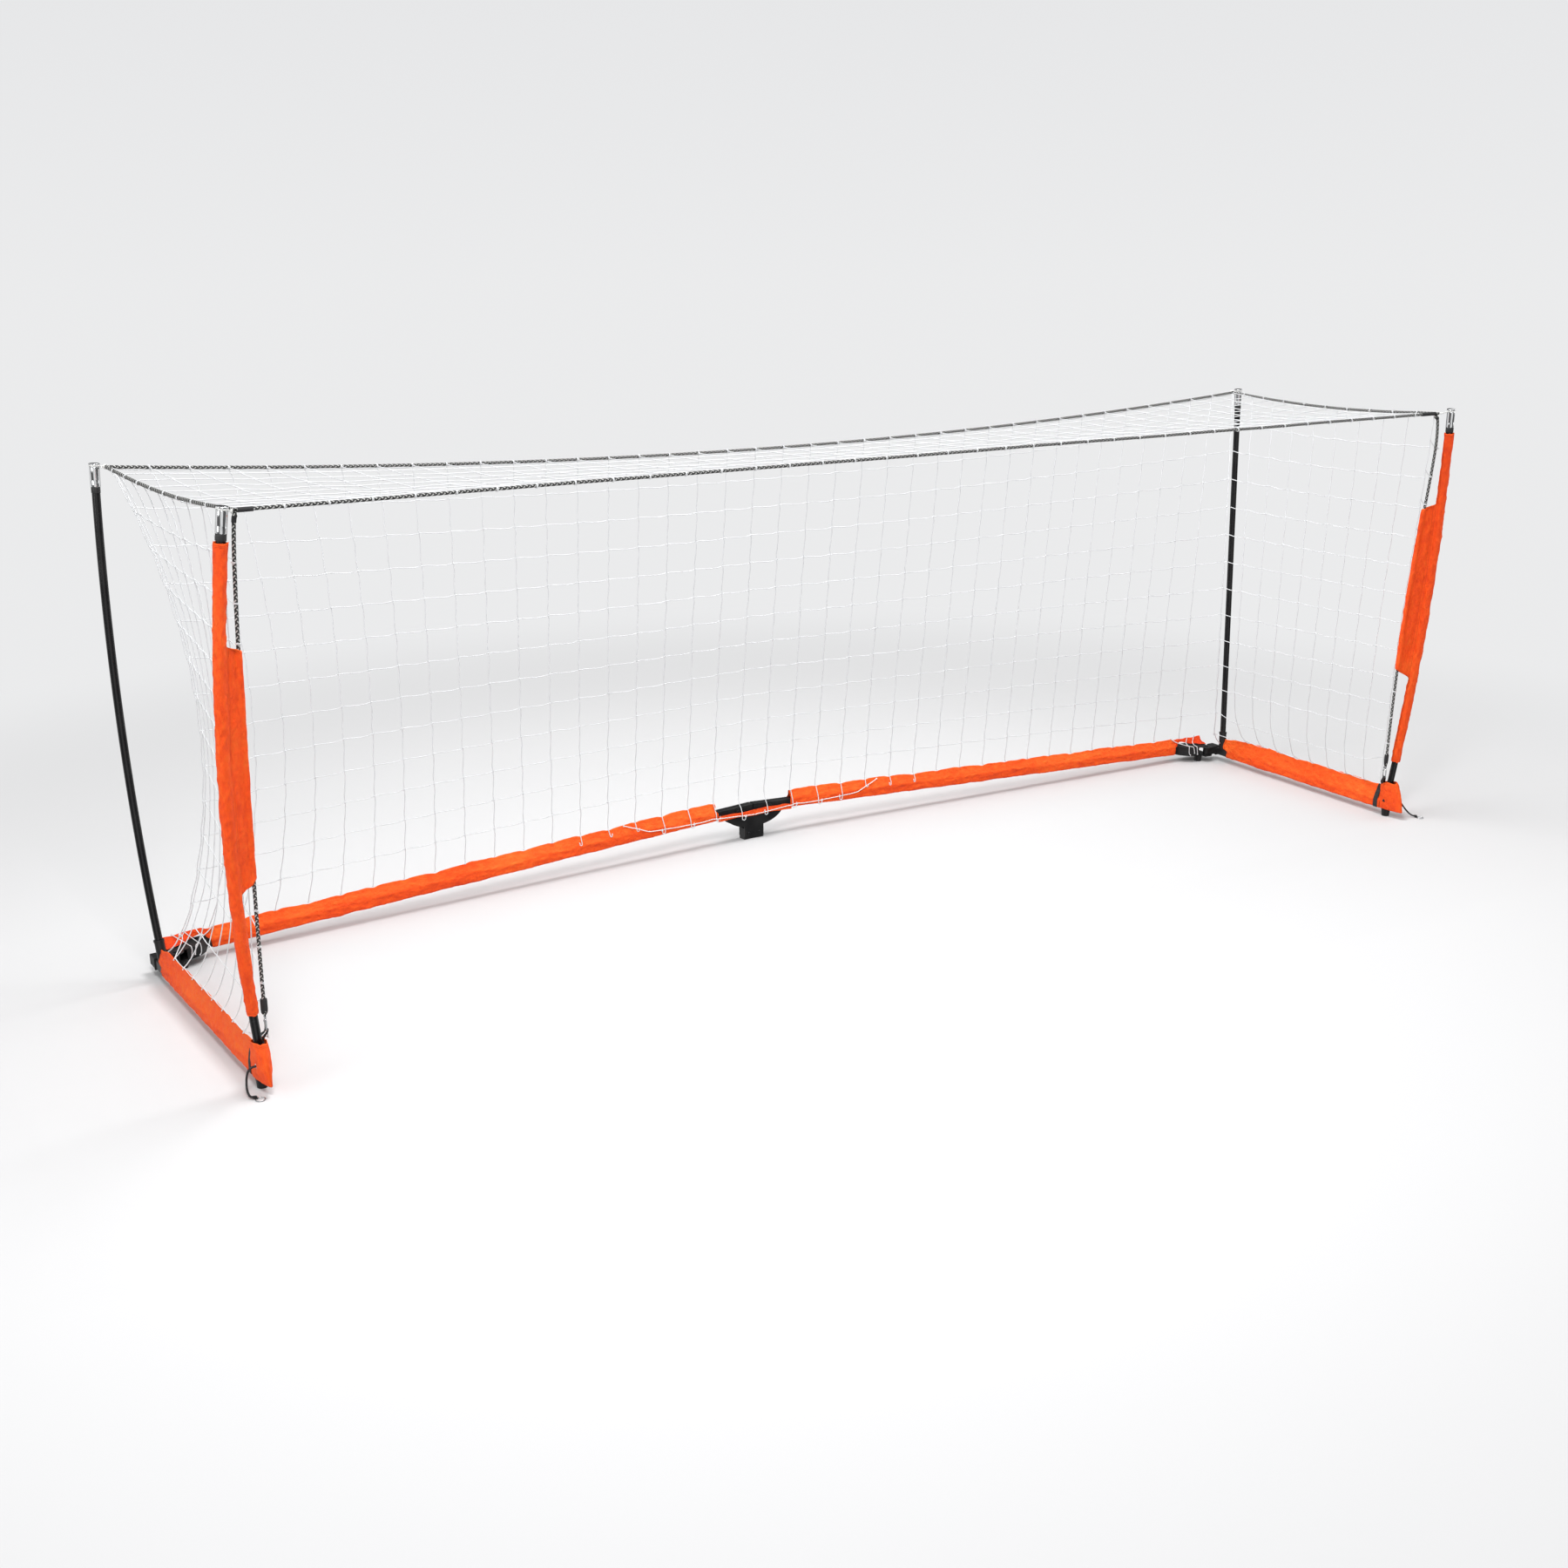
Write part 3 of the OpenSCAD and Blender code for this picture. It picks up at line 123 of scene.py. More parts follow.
# Points along a smooth curve through the given ones, about step apart
def smoothPath(points, step):
    p = np.asarray(points, float)
    q = np.vstack([2 * p[0] - p[1], p, 2 * p[-1] - p[-2]])
    out = []
    for i in range(len(p) - 1):
        n = max(1, int(round(np.linalg.norm(p[i + 1] - p[i]) / step)))
        t = np.arange(n)[:, None] / n
        a, b, c, d = q[i], q[i + 1], q[i + 2], q[i + 3]
        out.append(0.5 * (2 * b + (c - a) * t + (2 * a - 5 * b + 4 * c - d) * t**2
            + (3 * b - a - 3 * c + d) * t**3))
    return np.vstack(out + [p[-1:]])


# A part is (points, quads, corner UVs); a mesh joins any number of parts
def joinParts(parts):
    points, quads, uvs, base = [], [], [], 0
    for p, q, t in parts:
        points.append(p)
        quads.append(q + base)
        uvs.append(t)
        base += len(p)
    return np.vstack(points), np.vstack(quads), np.vstack(uvs)


# Grid of points (rows, columns, 3) as a part; around joins the last column to the first.
# UV x runs over the columns from 0 to across, UV y is the length along the rows.
def gridPart(grid, around=False, across=1.0, flip=False):
    grid = np.asarray(grid, float)
    rows, cols = grid.shape[:2]
    run = runAlong(grid.mean(1))
    last = cols if around else cols - 1
    i, j = np.meshgrid(np.arange(rows - 1), np.arange(last), indexing="ij")
    i, j = i.ravel(), j.ravel()
    k = (j + 1) % cols
    quads = np.stack([i * cols + j, i * cols + k, (i + 1) * cols + k, (i + 1) * cols + j], 1)
    u0, u1 = j / last * across, (j + 1) / last * across
    uv = np.stack([np.stack([u0, run[i]], 1), np.stack([u1, run[i]], 1), np.stack([u1, run[i + 1]], 1),
        np.stack([u0, run[i + 1]], 1)], 1)
    if flip:
        quads, uv = quads[:, ::-1], uv[:, ::-1]
    return grid.reshape(-1, 3), quads, uv.reshape(len(quads), 4, 2)


# Two faces of a cloth a thickness apart, joined along both edges and closed by a rim at both ends
def bandPart(face, behind, across):
    band = np.concatenate([face, behind[:, ::-1]], 1)
    points, quads, uv = gridPart(band, around=True, across=across, flip=True)
    rows, cols = band.shape[:2]
    k = np.arange(cols // 2 - 1)
    rim = np.stack([k, k + 1, cols - 2 - k, cols - 1 - k], 1)
    caps = np.concatenate([rim, rim[:, ::-1] + (rows - 1) * cols])
    return points, np.concatenate([quads, caps]), np.concatenate([uv, np.zeros((len(caps), 4, 2))])


# Unit vectors carried along a path without twisting
def carriedFrames(path):
    way = unit(np.gradient(path, axis=0))
    side = np.zeros_like(path)
    first = np.array([0.0, 0.0, 1.0])
    if abs(first @ way[0]) > 0.95:
        first = np.array([1.0, 0.0, 0.0])
    side[0] = unit(first - (first @ way[0]) * way[0])
    for n in range(1, len(path)):
        s = side[n - 1] - (side[n - 1] @ way[n]) * way[n]
        side[n] = s / max(np.linalg.norm(s), 1e-12)
    return way, side, np.cross(way, side)


# Round tube along a path; radius is one number, one per ring, or one per point
def tubePart(path, radius, sides=8, caps=True, ref=None):
    path = np.asarray(path, float)
    radius = np.asarray(radius, float)
    if radius.ndim == 1 and radius.size == len(path):
        radius = radius.reshape(-1, 1)
    radius = np.broadcast_to(radius, (len(path), sides)).copy()
    if ref is None:
        way, side, over = carriedFrames(path)
    else:
        way = unit(np.gradient(path, axis=0))
        side = unit(np.asarray(ref, float) - (way @ np.asarray(ref, float))[:, None] * way)
        over = np.cross(way, side)
    if caps:
        # the ends close over: a smaller ring at the end, then a point
        path = np.vstack([path[:1], path[:1], path, path[-1:], path[-1:]])
        side, over = (np.vstack([a[:1], a[:1], a, a[-1:], a[-1:]]) for a in (side, over))
        radius = np.vstack([radius[:1] * 0.01, radius[:1] * 0.8, radius, radius[-1:] * 0.8, radius[-1:] * 0.01])
    angle = ringAngles(sides)[None, :, None]
    turned = np.cos(angle) * side[:, None] + np.sin(angle) * over[:, None]
    return gridPart(path[:, None] + radius[..., None] * turned, around=True, flip=True)


# Values the cloth material reads: which way each point faces, for its painted light on upward faces, and its
# distance from a hem
def dressCloth(piece, hem):
    mesh = piece.data
    count = len(mesh.vertices)
    normals = np.empty(count * 3, np.float32)
    mesh.vertex_normals.foreach_get("vector", normals)
    mesh.attributes.new("lift", "FLOAT", "POINT").data.foreach_set("value", normals.reshape(-1, 3)[:, 2].copy())
    spread = np.full(count, hem) if np.ndim(hem) == 0 else np.ravel(hem)
    mesh.attributes.new("hem", "FLOAT", "POINT").data.foreach_set("value", spread.astype(np.float32))


# Solid of turning: profile points (radius, height), placed by a 4 by 4 matrix
def lathePart(profile, sides, matrix):
    profile = np.asarray(profile, float)
    angle = ringAngles(sides)
    grid = np.stack([profile[:, :1] * np.cos(angle), profile[:, :1] * np.sin(angle),
        np.repeat(profile[:, 1:], sides, 1)], -1)
    points, quads, uv = gridPart(grid, around=True)
    return points @ matrix[:3, :3].T + matrix[:3, 3], quads, uv


# One object from parts on the goal's right side; s = -1 mirrors it to the left. It rides on body, if given
def makePiece(name, parts, look, body=None, s=1):
    points, quads, uv = joinParts(parts)
    if s < 0:
        points = points * [-1, 1, 1]
        quads, uv = quads[:, ::-1], uv[:, ::-1]
    mesh = bpy.data.meshes.new(name)
    mesh.vertices.add(len(points))
    mesh.vertices.foreach_set("co", points.ravel())
    mesh.loops.add(quads.size)
    mesh.loops.foreach_set("vertex_index", quads.ravel().astype(np.int32))
    mesh.polygons.add(len(quads))
    mesh.polygons.foreach_set("loop_start", np.arange(0, quads.size, 4, dtype=np.int32))
    mesh.polygons.foreach_set("use_smooth", np.ones(len(quads), bool))
    mesh.uv_layers.new(name="UVMap").data.foreach_set("uv", uv.ravel())
    mesh.update(calc_edges=True)
    mesh.validate()
    mesh.materials.append(looks[look])
    piece = bpy.data.objects.new(name, mesh)
    bpy.context.scene.collection.objects.link(piece)
    if body:
        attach(piece, body)
    return piece


# A material's node tree, emptied
def nodeTree(material):
    material.use_nodes = True
    tree = material.node_tree
    tree.nodes.clear()
    return tree


# Short ways to add nodes to one tree; a value may be a number, a colour, a socket or a node
class Graph:
    def __init__(self, tree):
        self.tree = tree

    def add(self, kind, inputs=None, **settings):
        made = self.tree.nodes.new(kind)
        for key, value in settings.items():
            setattr(made, key, value)
        for key, value in (inputs or {}).items():
            self.plug(made.inputs[key], value)
        return made

    def plug(self, socket, value):
        if isinstance(value, bpy.types.NodeSocket):
            self.tree.links.new(value, socket)
        elif isinstance(value, bpy.types.Node):
            self.tree.links.new(value.outputs[0], socket)
        else:
            socket.default_value = value

    def math(self, operation, a, b=0.0, c=0.0):
        made = self.add("ShaderNodeMath", operation=operation)
        for socket, value in zip(made.inputs, (a, b, c)):
            self.plug(socket, value)
        return made.outputs[0]

    def times(self, a, b):
        return self.math("MULTIPLY", a, b)

    def plus(self, a, b):
        return self.math("ADD", a, b)

    def minus(self, a, b):
        return self.math("SUBTRACT", a, b)

    def below(self, a, b):
        return self.math("LESS_THAN", a, b)

    def sine(self, a):
        return self.math("SINE", a)

    # a times b, plus c
    def scaled(self, a, b, c):
        return self.math("MULTIPLY_ADD", a, b, c)

    def ramp(self, fac, stops):
        made = self.add("ShaderNodeValToRGB", {0: fac})
        while len(made.color_ramp.elements) < len(stops):
            made.color_ramp.elements.new(0.5)
        for element, (at, colour) in zip(made.color_ramp.elements, stops):
            element.position = at
            element.color = (*colour, 1)
        return made.outputs[0]

    def mixColour(self, fac, a, b):
        made = self.add("ShaderNodeMix", data_type="RGBA")
        self.plug(made.inputs[0], fac)
        for k, colour in ((6, a), (7, b)):
            self.plug(made.inputs[k], (*colour, 1) if isinstance(colour, tuple) else colour)
        return made.outputs[2]

    def noise(self, scale, detail=3.0, rough=0.5, vector=None, stretch=None):
        where = vector if vector is not None else self.add("ShaderNodeTexCoord").outputs["Object"]
        if stretch is not None:
            where = self.add("ShaderNodeMapping", {"Vector": where, "Scale": stretch}).outputs[0]
        return self.add("ShaderNodeTexNoise", {"Vector": where, "Scale": scale, "Detail": detail,
            "Roughness": rough}).outputs[0]

    def bump(self, height, strength, distance, normal=None):
        made = self.add("ShaderNodeBump", {"Height": height, "Strength": strength, "Distance": distance})
        if normal is not None:
            self.plug(made.inputs["Normal"], normal)
        return made.outputs[0]

    def uv(self):
        made = self.add("ShaderNodeSeparateXYZ", {0: self.add("ShaderNodeUVMap", uv_map="UVMap").outputs[0]})
        return made.outputs[0], made.outputs[1]


# A colour made darker or lighter by one factor
def dim(colour, factor):
    return tuple(c * factor for c in colour)


# One Principled surface; look gives its colour, roughness and bent normal
def surfaceMaterial(name, look, metallic=0.0, specular=0.5):
    material = bpy.data.materials.new(name)
    g = Graph(nodeTree(material))
    shader = g.add("ShaderNodeBsdfPrincipled", {"Metallic": metallic, "Specular IOR Level": specular})
    g.add("ShaderNodeOutputMaterial", {0: shader.outputs[0]})
    for socket, value in zip(("Base Color", "Roughness", "Normal"), look(g)):
        g.plug(shader.inputs[socket], value)
    return material


# A node group of plain values, with its graph, its inputs and its outputs
def valueGroup(name, inputs, outputs):
    group = bpy.data.node_groups.new(name, "ShaderNodeTree")
    for labels, way in ((inputs, "INPUT"), (outputs, "OUTPUT")):
        for label in labels:
            group.interface.new_socket(label, in_out=way, socket_type="NodeSocketFloat")
    g = Graph(group)
    return group, g, g.add("NodeGroupInput").outputs, g.add("NodeGroupOutput").inputs


# Wear shared by the hard parts: faint smudges and dust as one mask
def wearGroup():
    group, g, entry, leave = valueGroup("wear", ("Scale",), ("Smudge", "Speck"))
    where = g.add("ShaderNodeTexCoord").outputs["Object"]
    wide = g.add("ShaderNodeTexNoise", {"Vector": where, "Scale": entry[0], "Detail": 4.0, "Roughness": 0.6})
    fine = g.add("ShaderNodeTexNoise", {"Vector": where, "Scale": 900.0, "Detail": 2.0})
    g.plug(leave[0], g.ramp(wide.outputs[0], [(0.35, (0, 0, 0)), (0.75, (1, 1, 1))]))
    g.plug(leave[1], g.ramp(fine.outputs[0], [(0.62, (0, 0, 0)), (0.78, (1, 1, 1))]))
    return group


# Crossing yarns shared by the braids: one set counts up along turns * u + pitch * v, the other along
# turns * u - pitch * v. Swell is the product of a half sine wave over each set's yarn.
def yarnGroup():
    group, g, entry, leave = valueGroup("yarns", ("U", "V", "Turns", "Pitch"), ("First", "Second", "Swell"))
    around, along = g.times(entry[0], entry[2]), g.times(entry[1], entry[3])
    first, second = g.plus(around, along), g.minus(around, along)
    waves = [g.sine(g.times(g.math("FRACT", yarn), math.pi)) for yarn in (first, second)]
    for socket, value in zip(leave, (g.math("FLOOR", first), g.math("FLOOR", second), g.times(*waves))):
        g.plug(socket, value)
    return group


wear, yarns = wearGroup(), yarnGroup()


# The wear group placed in a material: smudge, speck
def addWear(g, scale):
    return g.add("ShaderNodeGroup", {0: scale}, node_tree=wear).outputs


# The yarns group placed over a piece's UVs: first, second, swell
def addYarns(g, turns, pitch):
    u, v = g.uv()
    return g.add("ShaderNodeGroup", {0: u, 1: v, 2: turns, 3: pitch}, node_tree=yarns).outputs


# Paint or plastic: smudges lighten it and change its shine, specks of dust lie on it
def powderLook(base, dust, roughLow, roughHigh, grain):
    def look(g):
        smudge, speck = addWear(g, 9.0)[:]
        colour = g.mixColour(g.times(smudge, 0.35), base, dust)
        colour = g.mixColour(g.times(speck, 0.25), colour, dim(dust, 2.2))
        rough = g.scaled(smudge, roughHigh - roughLow, roughLow)
        bent = g.bump(g.noise(grain, 2.0), 0.25, 0.0006)
        return colour, rough, bent
    return look


# Metal: smudges, and fine lines where stretch draws the noise out
def metalLook(base, dark, roughLow, roughHigh, stretch=(1, 1, 1)):
    def look(g):
        smudge = addWear(g, 30.0)[0]
        lines = g.noise(420.0, 3.0, 0.6, stretch=stretch)
        colour = g.mixColour(g.times(smudge, 0.5), base, dark)
        rough = g.plus(g.scaled(smudge, roughHigh - roughLow, roughLow), g.times(lines, 0.08))
        return colour, rough, g.bump(lines, 0.12, 0.0003)
    return look


# Cloth: a fine plain weave in UV metres, creases, painted light and shade (lighter where it faces up and on
# crease ridges, darker in crease hollows) and a double row of stitches by the hems.
# The points carry "lift" (1 faces up, -1 down) and "hem" (metres from the nearest hem).
def clothLook(base, light, dark):
    def look(g):
        u, v = g.uv()
        lift = g.add("ShaderNodeAttribute", attribute_name="lift").outputs["Fac"]
        hem = g.add("ShaderNodeAttribute", attribute_name="hem").outputs["Fac"]
        weave = g.times(g.sine(g.times(u, 5200.0)), g.sine(g.times(v, 5200.0)))
        cross = g.add("ShaderNodeCombineXYZ", {0: g.times(u, 3.0), 1: g.times(v, 1.6), 2: 0.0}).outputs[0]
        crease = g.noise(16.0, 6.0, 0.66, vector=cross)
        wide = g.noise(3.2, 3.0)
        # Painted light and shade: faces that point up (lift) and crease ridges are painted lighter, crease
        # hollows darker; the wide noise is the cloth's own uneven tone
        paintedShadeAndTone = g.plus(g.times(crease, 0.5), g.scaled(wide, 0.3, g.scaled(lift, 0.17, 0.10)))
        tone = g.ramp(paintedShadeAndTone, [(0.30, dark), (0.50, base), (0.70, light)])
        seam = g.math("ABSOLUTE", g.minus(g.math("ABSOLUTE", g.minus(hem, 0.0095)), 0.0025))
        dash = g.math("GREATER_THAN", g.math("FRACT", g.times(g.plus(u, v), 210.0)), 0.35)
        stitch = g.times(g.below(seam, 0.0007), dash)
        fold = g.below(hem, 0.014)
        colour = g.mixColour(g.scaled(weave, 0.05, 0.05), tone, dim(dark, 0.7))
        colour = g.mixColour(g.times(stitch, 0.55), colour, dim(dark, 0.45))
        rough = g.scaled(crease, 0.2, 0.5)
        height = g.plus(g.times(weave, 0.0002), g.plus(g.times(stitch, -0.0008), g.times(fold, 0.0006)))
        crumple = g.add("ShaderNodeCombineXYZ", {0: u, 1: g.times(v, 0.75), 2: 0.0}).outputs[0]
        facet = g.add("ShaderNodeTexVoronoi", {"Vector": crumple, "Scale": 34.0, "Randomness": 1.0},
            feature="DISTANCE_TO_EDGE").outputs[0]
        bent = g.bump(height, 0.7, 1.0, g.bump(g.math("MINIMUM", facet, 0.25), 0.55, 0.010,
            g.bump(crease, 0.75, 0.014)))
        return colour, rough, bent
    return look


# A braid's painted shade and fuzz: the gaps between the yarns are painted dark as shade, and fuzz lightens it
def braidShadeAndFuzz(g, colour, light, dark, swell, fuzz, fuzzShare):
    # painted shade: darker where the yarns dip into the gaps between them
    colour = g.mixColour(g.minus(1.0, g.math("POWER", swell, 0.35)), colour, dim(dark, 0.35))
    colour = g.mixColour(g.times(fuzz, fuzzShare), colour, dim(light, 0.6))
    return colour, g.bump(g.plus(swell, g.times(fuzz, 0.2)), 0.9, 0.0012)


# Braid: two sets of slanted yarns cross; each crossing is light or dark at random
def braidLook(lightShare, light, dark, turns, pitch):
    def look(g):
        first, second, swell = addYarns(g, turns, pitch)[:]
        cell = g.add("ShaderNodeCombineXYZ", {0: first, 1: second, 2: 0.0}).outputs[0]
        pick = g.add("ShaderNodeTexWhiteNoise", {"Vector": cell}, noise_dimensions="3D").outputs[0]
        colour, bent = braidShadeAndFuzz(g, g.mixColour(g.below(pick, lightShare), dark, light), light, dark, swell,
            g.noise(1400.0, 2.0), 0.25)
        return colour, g.scaled(pick, 0.15, 0.6), bent
    return look


# Fleck braid: of every three yarns one is white in each direction, and the yarns pass over and under in turn
def fleckLook(light, dark, turns, pitch):
    def look(g):
        first, second, swell = addYarns(g, turns, pitch)[:]
        whiteFirst, whiteSecond = [g.below(g.math("FLOORED_MODULO", yarn, 3.0), 0.5)
            for yarn in (first, second)]
        over = g.below(g.math("FLOORED_MODULO", g.plus(first, second), 2.0), 0.5)
        white = g.plus(g.times(whiteFirst, over), g.times(whiteSecond, g.minus(1.0, over)))
        fuzz = g.noise(1400.0, 2.0)
        colour, bent = braidShadeAndFuzz(g, g.mixColour(white, dark, light), light, dark, swell, fuzz, 0.15)
        return colour, g.scaled(fuzz, 0.15, 0.6), bent
    return look


# Laid twine: yarns wind round it, so the shade runs in slanted bands
def twineLook(base, shade, twist):
    def look(g):
        u, v = g.uv()
        band = g.sine(g.times(g.plus(g.times(u, 3.0), g.times(v, twist)), 2 * math.pi))
        fuzz = g.noise(700.0, 2.0)
        colour = g.mixColour(g.scaled(band, 0.25, 0.25), base, shade)
        colour = g.mixColour(g.times(fuzz, 0.25), colour, dim(shade, 0.8))
        return colour, 0.72, g.bump(band, 0.5, 0.0005)
    return look


# Webbing: ribs across and fine threads along the band
def webbingLook(base, light):
    def look(g):
        u, v = g.uv()
        rib = g.sine(g.times(v, 3900.0))
        thread = g.sine(g.times(u, 130.0))
        both = g.times(rib, thread)
        edge = g.below(g.math("ABSOLUTE", g.minus(g.math("FRACT", g.times(u, 2.0)), 0.5)), 0.4)
        colour = g.mixColour(g.scaled(both, 0.3, 0.3), base, light)
        return colour, g.scaled(edge, -0.12, 0.75), g.bump(both, 0.6, 0.0006)
    return look


dust = (0.045, 0.044, 0.042)
looks = {
    "powder": surfaceMaterial("powder_black", powderLook((0.009, 0.009, 0.010), dust, 0.30, 0.46, 900.0),
        specular=0.32),
    "plastic": surfaceMaterial("plastic_black", powderLook((0.010, 0.010, 0.011), dust, 0.42, 0.6, 1600.0),
        specular=0.3),
    "pole": surfaceMaterial("pole_black", powderLook((0.006, 0.006, 0.007), (0.025, 0.025, 0.024), 0.16, 0.30,
        300.0), specular=0.34),
    "bolt": surfaceMaterial("bolt_black", metalLook((0.02, 0.02, 0.022), (0.01, 0.01, 0.011), 0.32, 0.45),
        metallic=0.6),
    "zinc": surfaceMaterial("zinc", metalLook((0.60, 0.61, 0.62), (0.40, 0.41, 0.43), 0.22, 0.38),
        metallic=1.0),
    "chrome": surfaceMaterial("chrome", metalLook((0.78, 0.79, 0.80), (0.55, 0.56, 0.58), 0.06, 0.16,
        (1, 1, 0.05)), metallic=1.0),
    # The cloth's lighter and darker oranges are partly painted light and shade: the lighter one on upward faces
    # and crease ridges, the darker one in crease hollows
    "orange": surfaceMaterial("cloth_orange", clothLook((0.98, 0.095, 0.010), (1.0, 0.170, 0.022),
        (0.76, 0.048, 0.010)), specular=0.18),
    "webbing": surfaceMaterial("webbing_black", webbingLook((0.012, 0.012, 0.013), (0.045, 0.045, 0.048))),
    "twine": surfaceMaterial("net_twine", twineLook((0.80, 0.81, 0.82), (0.52, 0.53, 0.55), 160.0)),
    "lacing": surfaceMaterial("cord_white", twineLook((0.90, 0.90, 0.88), (0.66, 0.66, 0.64), 110.0)),
    "rope": surfaceMaterial("rope_fleck", fleckLook((0.62, 0.62, 0.60), (0.009, 0.009, 0.010), 6.0, 150.0),
        specular=0.2),
    "cord": surfaceMaterial("cord_black", braidLook(0.12, (0.10, 0.10, 0.105), (0.012, 0.012, 0.013), 4.0,
        260.0)),
    "rubber": surfaceMaterial("rubber_black", powderLook((0.014, 0.014, 0.015), dust, 0.5, 0.65, 700.0)),
}
print("materials made:", len(looks))

# Row frame in metres. The bar frame runs out along the rear bar, the side frame back along the side bar.
originY = 0.792249
bend, tilt, toe = math.radians(2.67), math.radians(1.96881), math.radians(1.8)
hubPivot = np.array([0.09, originY - 0.004197, 0.15])
barLength = 2.707


# Bar frame: turned up by tilt about y, then round by bend about z, from the hub's pivot
def barPoint(x, y, z):
    x, y, z = arrays(x, y, z)
    run = math.cos(tilt) * x + math.sin(tilt) * z
    turned = [math.cos(bend) * run + math.sin(bend) * y, math.cos(bend) * y - math.sin(bend) * run,
        math.cos(tilt) * z - math.sin(tilt) * x]
    return hubPivot + np.stack(turned, -1)


cornerPivot = barPoint(barLength, -0.085, 0.0)
sideOrigin = np.array([cornerPivot[0] + 0.067, cornerPivot[1], 0.057])


# Side frame: turned by toe about z, from the side bar's start
def sidePoint(x, y, z):
    x, y, z = arrays(x, y, z)
    return sideOrigin + np.stack([math.cos(toe) * x + math.sin(toe) * y, math.cos(toe) * y - math.sin(toe) * x,
        z], -1)


socketY = {"rear": -0.052, "front": -1.227}
poleFoot, poleRise = 0.164, 1.836
mouth = {k: sidePoint(0.003, socketY[k], 0.107) for k in socketY}
cap = {"rear": mouth["rear"] + [0.028, 0.072, poleRise], "front": mouth["front"] + [-0.003, -0.156, poleRise]}
bowWay = {"rear": (1, 1, 0), "front": (1, 0, 0)}
bowTurn = {"rear": math.radians(9.2), "front": math.radians(12.6)}


# Point on a pole's bow: half way along the chord, plus the circle's point at angle turn * (t - 1/2)
def polePoint(which, t):
    m, c = mouth[which], cap[which]
    t = np.asarray(t, float)[..., None]
    chord, length = unit(c - m), np.linalg.norm(c - m)
    across = np.asarray(bowWay[which], float)
    across = unit(across - (across @ chord) * chord)
    half = bowTurn[which] / 2
    radius = length / (2 * math.sin(half))
    a = 2 * half * (t - 0.5)
    return m + chord * (length / 2 + radius * np.sin(a)) + across * radius * (np.cos(a) - math.cos(half))


# The bow's direction, from two points close together
def poleWay(which, t):
    return unit(polePoint(which, np.asarray(t) + 1e-4) - polePoint(which, np.asarray(t) - 1e-4))


# The bow's length: its radius times its turn
def poleLength(which):
    return np.linalg.norm(cap[which] - mouth[which]) / (2 * math.sin(bowTurn[which] / 2)) * bowTurn[which]


# A 4 by 4 matrix at a point: z is the way, x is side squared up to it
def matrixAt(point, way, side=(1, 0, 0)):
    z, side = unit(way), np.asarray(side, float)
    x = unit(side - (side @ z) * z)
    m = np.eye(4)
    m[:3, 0], m[:3, 1], m[:3, 2], m[:3, 3] = x, np.cross(z, x), z, point
    return m


# Every piece is worked out on the right (s = 1); the left one (s = -1) is its mirror image
sideNames = {-1: "left", 1: "right"}
ropeZ, ropeRadius = 1.984, 0.0065
frontTie = {-1: 0.036, 1: 0.100}
rearCorner = cap["rear"] + [-0.04, 0, -0.016]


# Where the ropes meet in front: in from the pole's cap by the tie's length
def frontCorner(s):
    return cap["front"] + [-frontTie[s], 0, -0.016]


# Rear rope: level at its ends, sagging by a parabola
def rearRope(x):
    x = np.asarray(x, float)
    return np.stack([x, np.full(x.shape, rearCorner[1]), ropeZ - 0.11 * (1 - (x / rearCorner[0]) ** 2)], -1)


hardKinds = {
    "powder": ("hub_front_plate", "hub_rear_plate", "rear_tube", "side_tube", "pole_sockets"),
    "plastic": ("hub_foot", "corner_top_plate", "corner_bottom_plate", "corner_foot",
        "hinge_block", "front_foot"),
    "bolt": ("hub_bolts", "hub_nuts", "corner_bolts"),
    "chrome": ("eyelet", "snap_hook", "snap_gate"),
    "zinc": ("stake_ring",),
}
hardLook = {kind: look for look, kinds in hardKinds.items() for kind in kinds}
for name, node in nodes.items():
    kind = name.replace("_left", "").replace("_right", "")
    if kind not in hardLook:
        continue
    node.data.materials.clear()
    node.data.materials.append(looks[hardLook[kind]])
    if hardLook[kind] not in ("chrome", "zinc"):
        rounded = node.modifiers.new("edges", "BEVEL")
        rounded.width = 0.0012
        rounded.segments = 2
        rounded.limit_method = "ANGLE"
        rounded.angle_limit = math.radians(35)
        rounded.harden_normals = True
print("hard parts dressed")

poleShape = {"radius": 0.015, "ferrule": 0.085, "seat": 0.08}
ferruleProfile = [(0.0, 0.0), (0.0165, 0.0), (0.0188, -0.0006), (0.0198, -0.0018), (0.020, -0.0035),
    (0.0192, -0.0052), (0.0168, -0.0062), (0.0158, -0.0070), (0.0158, -0.0112), (0.0168, -0.0125),
    (0.0178, -0.0135), (0.018, -0.0150), (0.018, -0.060), (0.0177, -0.0605), (0.0177, -0.0615), (0.018, -0.062),
    (0.018, -0.0825), (0.0176, -0.0842), (0.0168, -0.085), (0.0150, -0.085)]
collarProfile = [(0.0150, 0.0), (0.0172, 0.0), (0.0178, -0.0012), (0.0178, -0.0205), (0.0172, -0.0218),
    (0.0150, -0.0218)]


# The frame at a ferrule's upper end, turned along the pole
def poleTop(which):
    at = 1 - poleShape["ferrule"] / 2 / poleLength(which)
    top = matrixAt(polePoint(which, at), poleWay(which, at))
    top[:3, 3] += top[:3, 2] * poleShape["ferrule"] / 2
    return top


